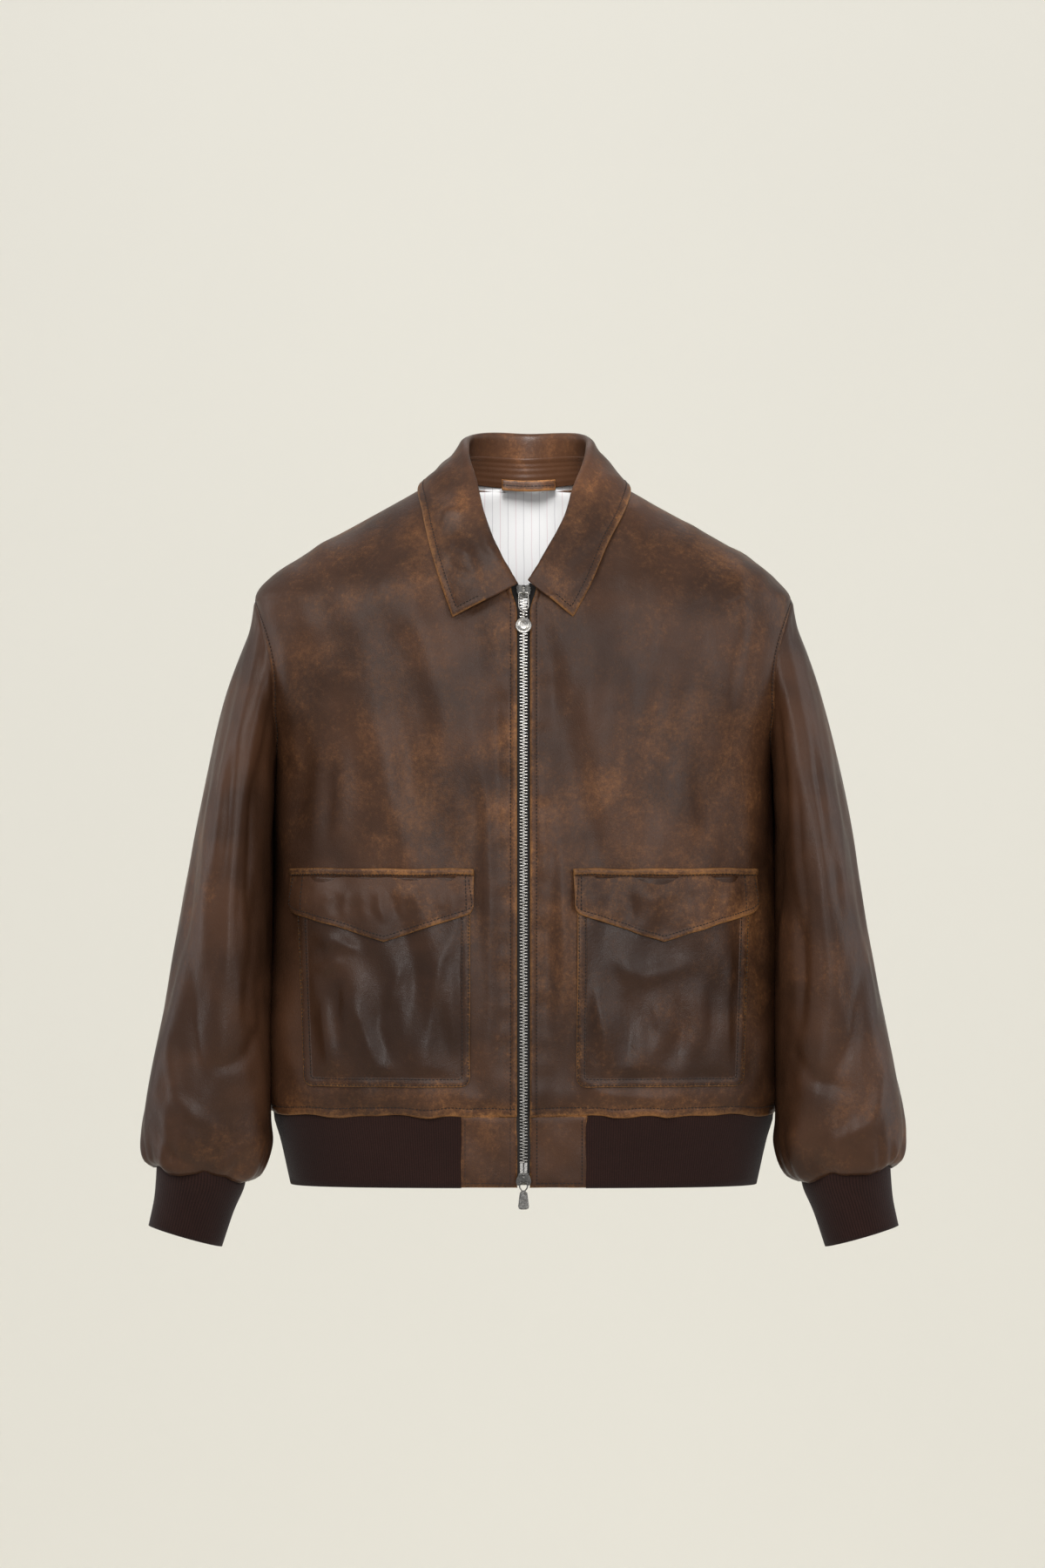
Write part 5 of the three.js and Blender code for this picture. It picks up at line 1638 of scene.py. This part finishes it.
def build_teeth(side):
    """One side's row of teeth: a clamped jaw, a neck and a rounded head that locks between its neighbours."""
    sign = SIDES[side]
    pitch = sizes().tooth_pitch
    half = np.array([
        (TEETH_REACH, 0.42), (2.6, 0.55), (1.2, 0.55), (0.6, 0.38), (0.0, 0.4), (-0.5, 0.55), (-1.0, 0.3),
    ])
    outline = np.vstack([half, half[::-1] * (1, -1)])
    metal = Metal()
    first = ZIP_TOP - (0 if sign > 0 else pitch / 2)
    for k in range(int((first - ZIP_BOTTOM - 14) / pitch)):
        z = first - k * pitch
        middle = float(front_y(z)) + TEETH_MIDDLE
        spread = 2.6 * float(smoothstep(-99, -91, z))
        placed = outline * (sign, 1) + (sign * spread, z)
        metal.plate(placed, middle - 1.4, middle + 1.4, 0.2)
    end = float(front_y(-640)) + TEETH_MIDDLE
    stop = np.array([(0.25, -631), (3.6, -631), (3.6, -643), (0.25, -643)]) * (sign, 1)
    metal.plate(stop, end - 1.6, end + 1.6, 0.4)
    return metal.finish(f"zip_teeth_row_{side}", f"zip_teeth_{side}", finish="bright_metal")


def build_slider(name, node, frame):
    """A slider: two plates joined by a wedge, with an arched bridge over its front."""
    half, narrow, length = SLIDER["width"] / 2, SLIDER["narrow"] / 2, SLIDER["length"]
    outline = spline([
        (-half + 2, 0), (0, -0.9), (half - 2, 0), (half, -2), (half, -5.6), (narrow, -length + 2.2),
        (narrow - 1.5, -length), (-narrow + 1.5, -length), (-narrow, -length + 2.2),
        (-half, -5.6), (-half, -2), (-half + 2, 0),
    ], 67)[:-1]
    front, back, thick = SLIDER["front"], SLIDER["back"], SLIDER["plate"]
    metal = Metal(frame)
    metal.plate(outline, front - thick, front, 0.45)
    metal.plate(outline * (0.72, 0.80) + (0, -1.3), front - thick - 0.35, front - thick + 0.2, 0.2)
    metal.plate(outline, back, back + thick, 0.45)
    metal.plate([(-1.5, -0.4), (1.5, -0.4), (1.5, -3.2), (-1.5, -3.2)], front - 0.2, back + 0.2, 0.1)
    face = front - thick
    for side in (-1, 1):  # flanges that fold round the teeth
        edge = [(side * half, -2.2), (side * half, -5.6), (side * narrow, -10.2)]
        inner = [(x - side * 0.9, z) for x, z in edge]
        metal.plate(edge + inner[::-1], front - 0.1, back - 2.6, 0.2)
    arch = spline([
        (face + 0.5, -BRIDGE["near"] + 0.5), (face - 2.1, -BRIDGE["near"] + 0.5),
        (face - 3.05, -BRIDGE["near"] - 1.2),
        (face - 3.05, -5.8), (face - 3.05, -BRIDGE["far"] + 1.1), (face - 2.1, -BRIDGE["far"] - 0.5),
        (face + 0.5, -BRIDGE["far"] - 0.5),
    ], 49)
    for x in (-0.75, 0, 0.75):
        metal.wire([(x, y, z) for y, z in arch], 0.62)
    return metal.finish(name, node)


def link_path(width, height, point):
    """The middle line of a wire link: rounded at the top, drawn in to a point at the bottom."""
    half = width / 2 - WIRE / 2
    low = -height + WIRE / 2
    corners = [
        (0, 0), (half * 0.8, -0.05), (half, -1.3), (half, low + point), (half * 0.42, low + 0.5), (0, low),
    ]
    corners += [(-x, z) for x, z in corners[-2:0:-1]] + [(0, 0)]
    return [(x, 0, z) for x, z in evenly(spline(corners, 120), count=61)[:-1]]


def build_top_pull(pivot):
    """A wire link, a bead and a stepped medallion with a milled rim."""
    lean = lean_over(-94, -130)
    metal = Metal(Matrix.Translation(pivot) @ Matrix.Rotation(-lean, 4, "X"))
    metal.wire(link_path(10, 18, 4), WIRE / 2, True)
    metal.wire([(0, 0, -17.6), (0, 0, -19.0), (0, 0, -24.5)], 0.85)
    for z, radius in ((-18.3, 1.7), (-20.9, 1.75), (-23.3, 1.55)):
        steps = np.linspace(0.05, np.pi - 0.05, 9)
        metal.turned([(radius * math.sin(a), -radius * 0.8 * math.cos(a)) for a in steps], (0, z), 18)
    z = -31.3
    rim = [(6.9, 0.9), (7.7, 0.45), (7.7, -0.45), (7.15, -0.9), (6.3, -0.95), (5.9, -0.55), (5.25, -0.55),
           (4.95, -1.15), (4.3, -1.35), (3.75, -1.15), (3.5, -0.75), (1.6, -0.9), (0.3, -0.95)]
    metal.turned(rim, (0, z), 72, 0.035)
    return metal.finish("zip_pull_top", "pull_top", "top_pull", "bright_metal")


def build_bottom_pull(pivot):
    """A pointed wire link with a flat tab that widens to a rounded end."""
    metal = Metal(Matrix.Translation(pivot))
    metal.wire(link_path(8.4, 8.8, 3.6), WIRE / 2, True)
    neck = [(-1.7, -7.6), (1.7, -7.6), (3.6, -10.0), (4.1, -14), (5.1, -22.6), (4.4, -24.6), (2.4, -25.4),
            (-2.4, -25.4), (-4.4, -24.6), (-5.1, -22.6), (-4.1, -14), (-3.6, -10.0)]
    metal.plate(neck, -0.95, 0.95, 0.4)
    raised = [(-3.2, -11.0), (3.2, -11.0), (4.1, -19.6), (-4.1, -19.6)]
    metal.plate(raised, -1.15, 1.15, 0.25)
    return metal.finish("zip_pull_bottom", "pull_bottom", "bottom_pull")


def build_sliders_and_pulls():
    """Both sliders of the two-way zip, and the pulls that hang from their bridges."""
    top, bottom = slider_frame(ZIP_TOP_Z, False), slider_frame(BOTTOM_SLIDER_Z, True)
    build_slider("zip_slider_top", "slider_top", top)
    build_slider("zip_slider_bottom", "slider_bottom", bottom)
    bar = SLIDER["front"] - SLIDER["plate"] - 1.25
    build_top_pull(top @ Vector((0, bar, -BRIDGE["far"] + WIRE / 2 + 0.45)))
    build_bottom_pull(bottom @ Vector((0, bar, -BRIDGE["near"] - WIRE / 2 - 0.45)))


# ---- Stitch lines of the shell -----------------------------------------------------------------
def shell_seams():
    """Topstitches along the zip, the hem and the armholes."""
    for side, sign in SIDES.items():
        surface = SURFACES[side]
        x = np.array([sign * (FRONT_EDGE_X + ZIP_STITCH)] * 2)
        SEAMS.setdefault("zip", []).append(line_on(surface, x, np.array([-104, HEM_Z + 2]), 0.1))
        grid = surface.grid
        columns = np.linspace(1, grid.shape[1] - 2, 200)
        low = np.full(200, grid.shape[0] - 1 - HEM_STITCH / HEM_ROW)
        SEAMS.setdefault("hem", []).append(on_grid(grid, low, columns, 0.12))
        rows = np.flatnonzero((grid[:, 0, 2] < ARMHOLE_TOP + 1) & (grid[:, 0, 2] > ARMHOLE_BOTTOM + 6))
        lengths, _ = running_lengths(grid)
        numbers = np.arange(grid.shape[1])
        if sign > 0:
            columns = [np.interp(lengths[i, -1] - ARM_STITCH, lengths[i], numbers) for i in rows]
        else:
            columns = [np.interp(ARM_STITCH, lengths[i], numbers) for i in rows]
        SEAMS.setdefault("armhole", []).append(on_grid(grid, rows, columns, 0.12))
    back = SURFACES["back"].grid
    columns = np.linspace(1, back.shape[1] - 2, 300)
    SEAMS["hem"].append(on_grid(back, np.full(300, back.shape[0] - 1 - HEM_STITCH / HEM_ROW), columns, 0.12))


# ---- Stage -------------------------------------------------------------------------------------
def area_light(name, place, aim, size, power, colour=(1, 1, 1)):
    """A rectangular light, aimed at a point."""
    data = bpy.data.lights.new(name, "AREA")
    data.shape, data.size, data.size_y = "RECTANGLE", size[0], size[1]
    data.energy, data.color = power, colour
    light = bpy.data.objects.new(name, data)
    light.location = place
    light.rotation_euler = (Vector(aim) - Vector(place)).to_track_quat("-Z", "Y").to_euler()
    bpy.context.scene.collection.objects.link(light)
    return data


def backdrop_material():
    """Pale matt paint with very faint clouds."""
    n = Nodes("backdrop")
    tone = n.ramp(n.noise(0.6, 3), 0.2, 0.8, 0.985, 1.01)
    colour = n.shaded(tuple(colours().backdrop), tone)
    return n.finish(colour, 0.9, n.relief(n.noise(160, 3), 0.0002, 0.2))


def build_stage():
    """A pale floor that curves up into a wall, soft studio lights and the camera.

    The wall stands farther off than the camera does, so that the jacket can be seen from every side.
    """
    bend, back, floor = 1.6, 9.6, -3.6
    profile = [(-9.0, floor), (back - bend, floor)]
    profile += [
        (back - bend + bend * math.sin(a), floor + bend - bend * math.cos(a))
        for a in np.linspace(0.1, 1.5, 14)
    ]
    profile += [(back, floor + bend), (back, 6.0)]
    points = [(x, y, z) for y, z in profile for x in (-8.0, 8.0)]
    faces = [[2 * i, 2 * i + 1, 2 * i + 3, 2 * i + 2] for i in range(len(profile) - 1)]
    mesh = bpy.data.meshes.new("backdrop")
    mesh.from_pydata(points, [], faces)
    mesh.materials.append(backdrop_material())
    mesh.polygons.foreach_set("use_smooth", [True] * len(faces))
    wall = bpy.data.objects.new("backdrop", mesh)
    bpy.context.scene.collection.objects.link(wall)
    middle = (0, 0, -0.28)
    area_light("key", (-1.5, -2.6, 1.9), middle, (1.5, 1.5), 36, (1.0, 0.985, 0.96))
    area_light("fill", (2.3, -2.6, 0.6), middle, (1.6, 2.0), 22, (0.97, 0.985, 1.0))
    area_light("front", (0.2, -4.6, 0.5), middle, (1.3, 1.3), 46)
    area_light("side_left", (-1.9, 0.3, 0.1), middle, (0.7, 2.0), 7)
    area_light("side_right", (1.9, 0.3, 0.1), middle, (0.7, 2.0), 7)
    neck = area_light("neck", (0, -0.42, 0.26), (0, 0.10, 0.015), (0.16, 0.16), 0.15)
    neck.spread = math.radians(30)
    area_light("wall_wash", (0, 4.5, 4.6), (0, 9.6, -3.0), (4.0, 1.5), 165)
    area_light("floor_wash", (0, 4.5, -3.1), (0, 9.6, -0.8), (4.0, 0.8), 64)
    world = bpy.data.worlds.new("studio")
    world.use_nodes = True
    world.node_tree.nodes["Background"].inputs["Color"].default_value = (0.93, 0.95, 1.0, 1)
    world.node_tree.nodes["Background"].inputs["Strength"].default_value = 0.43
    bpy.context.scene.world = world
    camera = bpy.data.cameras.new("camera")
    camera.lens, camera.sensor_width, camera.sensor_fit = 183, 36, "AUTO"
    camera.clip_end = 60
    eye = bpy.data.objects.new("camera", camera)
    eye.location = (-0.001, -7.6, -0.275)
    eye.rotation_euler = (math.pi / 2, 0, 0)
    bpy.context.scene.collection.objects.link(eye)
    bpy.context.scene.camera = eye
    bpy.context.scene.view_settings.view_transform = "Standard"


# ---- Operators, panel and main -----------------------------------------------------------------
class JACKET_OT_fronts(bpy.types.Operator):
    """Makes both leather fronts, with their folds and armholes"""

    bl_idname = "jacket.fronts"
    bl_label = "Fronts"

    def execute(self, context):
        for side in SIDES:
            build_front(side)
        return {"FINISHED"}


class JACKET_OT_back(bpy.types.Operator):
    """Makes the leather back in one piece"""

    bl_idname = "jacket.back"
    bl_label = "Back"

    def execute(self, context):
        build_back()
        return {"FINISHED"}


class JACKET_OT_lining(bpy.types.Operator):
    """Makes the striped lining that shows inside the back neck"""

    bl_idname = "jacket.lining"
    bl_label = "Lining"

    def execute(self, context):
        build_lining()
        return {"FINISHED"}


class JACKET_OT_hem(bpy.types.Operator):
    """Makes the rib hem and the two leather tabs beside the zip"""

    bl_idname = "jacket.hem"
    bl_label = "Hem"

    def execute(self, context):
        build_hem()
        for side in SIDES:
            build_tab(side)
        return {"FINISHED"}


class JACKET_OT_sleeves(bpy.types.Operator):
    """Makes both leather sleeves"""

    bl_idname = "jacket.sleeves"
    bl_label = "Sleeves"

    def execute(self, context):
        for side in SIDES:
            build_sleeve(side)
        return {"FINISHED"}


class JACKET_OT_cuffs(bpy.types.Operator):
    """Makes both ribbed cuffs"""

    bl_idname = "jacket.cuffs"
    bl_label = "Cuffs"

    def execute(self, context):
        for side in SIDES:
            build_cuff(side)
        return {"FINISHED"}


class JACKET_OT_pockets(bpy.types.Operator):
    """Makes the patch pockets and the strips along their edges"""

    bl_idname = "jacket.pockets"
    bl_label = "Pockets"

    def execute(self, context):
        for side in SIDES:
            build_pocket(side)
        return {"FINISHED"}


class JACKET_OT_flaps(bpy.types.Operator):
    """Makes the pockets' pointed flaps and their sewn bands"""

    bl_idname = "jacket.flaps"
    bl_label = "Flaps"

    def execute(self, context):
        for side in SIDES:
            build_flap(side)
        return {"FINISHED"}


class JACKET_OT_collar(bpy.types.Operator):
    """Makes the turned-down collar, its stitched stand and the hanger loop"""

    bl_idname = "jacket.collar"
    bl_label = "Collar"

    def execute(self, context):
        build_collar()
        build_stand()
        build_hanger_loop()
        return {"FINISHED"}


class JACKET_OT_zip(bpy.types.Operator):
    """Makes the zip's tapes, teeth, sliders and pulls"""

    bl_idname = "jacket.zip"
    bl_label = "Zip"

    def execute(self, context):
        for side in SIDES:
            build_zip_tape(side)
            build_teeth(side)
        build_sliders_and_pulls()
        return {"FINISHED"}


class JACKET_OT_stitches(bpy.types.Operator):
    """Lays the topstitching along the seams of the pieces made before"""

    bl_idname = "jacket.stitches"
    bl_label = "Stitches"

    def execute(self, context):
        shell_seams()
        for name, lines in SEAMS.items():
            add_stitches(f"thread_{name}", lines, look("thread"))
        return {"FINISHED"}


class JACKET_OT_stage(bpy.types.Operator):
    """Makes the backdrop, the lights and the camera"""

    bl_idname = "jacket.stage"
    bl_label = "Stage"

    def execute(self, context):
        build_stage()
        return {"FINISHED"}


STEPS = (
    JACKET_OT_fronts,
    JACKET_OT_back,
    JACKET_OT_lining,
    JACKET_OT_hem,
    JACKET_OT_sleeves,
    JACKET_OT_cuffs,
    JACKET_OT_pockets,
    JACKET_OT_flaps,
    JACKET_OT_collar,
    JACKET_OT_zip,
    JACKET_OT_stitches,
    JACKET_OT_stage,
)


class JACKET_PT_panel(bpy.types.Panel):
    """Lists the jacket's sizes, colours and steps"""

    bl_idname = "JACKET_PT_panel"
    bl_label = "Jacket"
    bl_space_type = "VIEW_3D"
    bl_region_type = "UI"
    bl_category = "Jacket"

    def draw(self, context):
        for group, chosen in (
            (JacketSizes, context.scene.jacket_sizes),
            (JacketColours, context.scene.jacket_colours),
        ):
            column = self.layout.column(align=True)
            for key in group.__annotations__:
                column.prop(chosen, key)
        column = self.layout.column(align=True)
        for step in STEPS:
            column.operator(step.bl_idname)


CLASSES = (JacketSizes, JacketColours, *STEPS, JACKET_PT_panel)


def register():
    for kind in CLASSES:
        bpy.utils.register_class(kind)
    bpy.types.Scene.jacket_sizes = bpy.props.PointerProperty(type=JacketSizes)
    bpy.types.Scene.jacket_colours = bpy.props.PointerProperty(type=JacketColours)


def unregister():
    del bpy.types.Scene.jacket_colours
    del bpy.types.Scene.jacket_sizes
    for kind in reversed(CLASSES):
        bpy.utils.unregister_class(kind)


def main():
    register()
    for step in STEPS:
        getattr(bpy.ops.jacket, step.bl_idname.split(".")[1])()


if __name__ == "__main__":
    main()
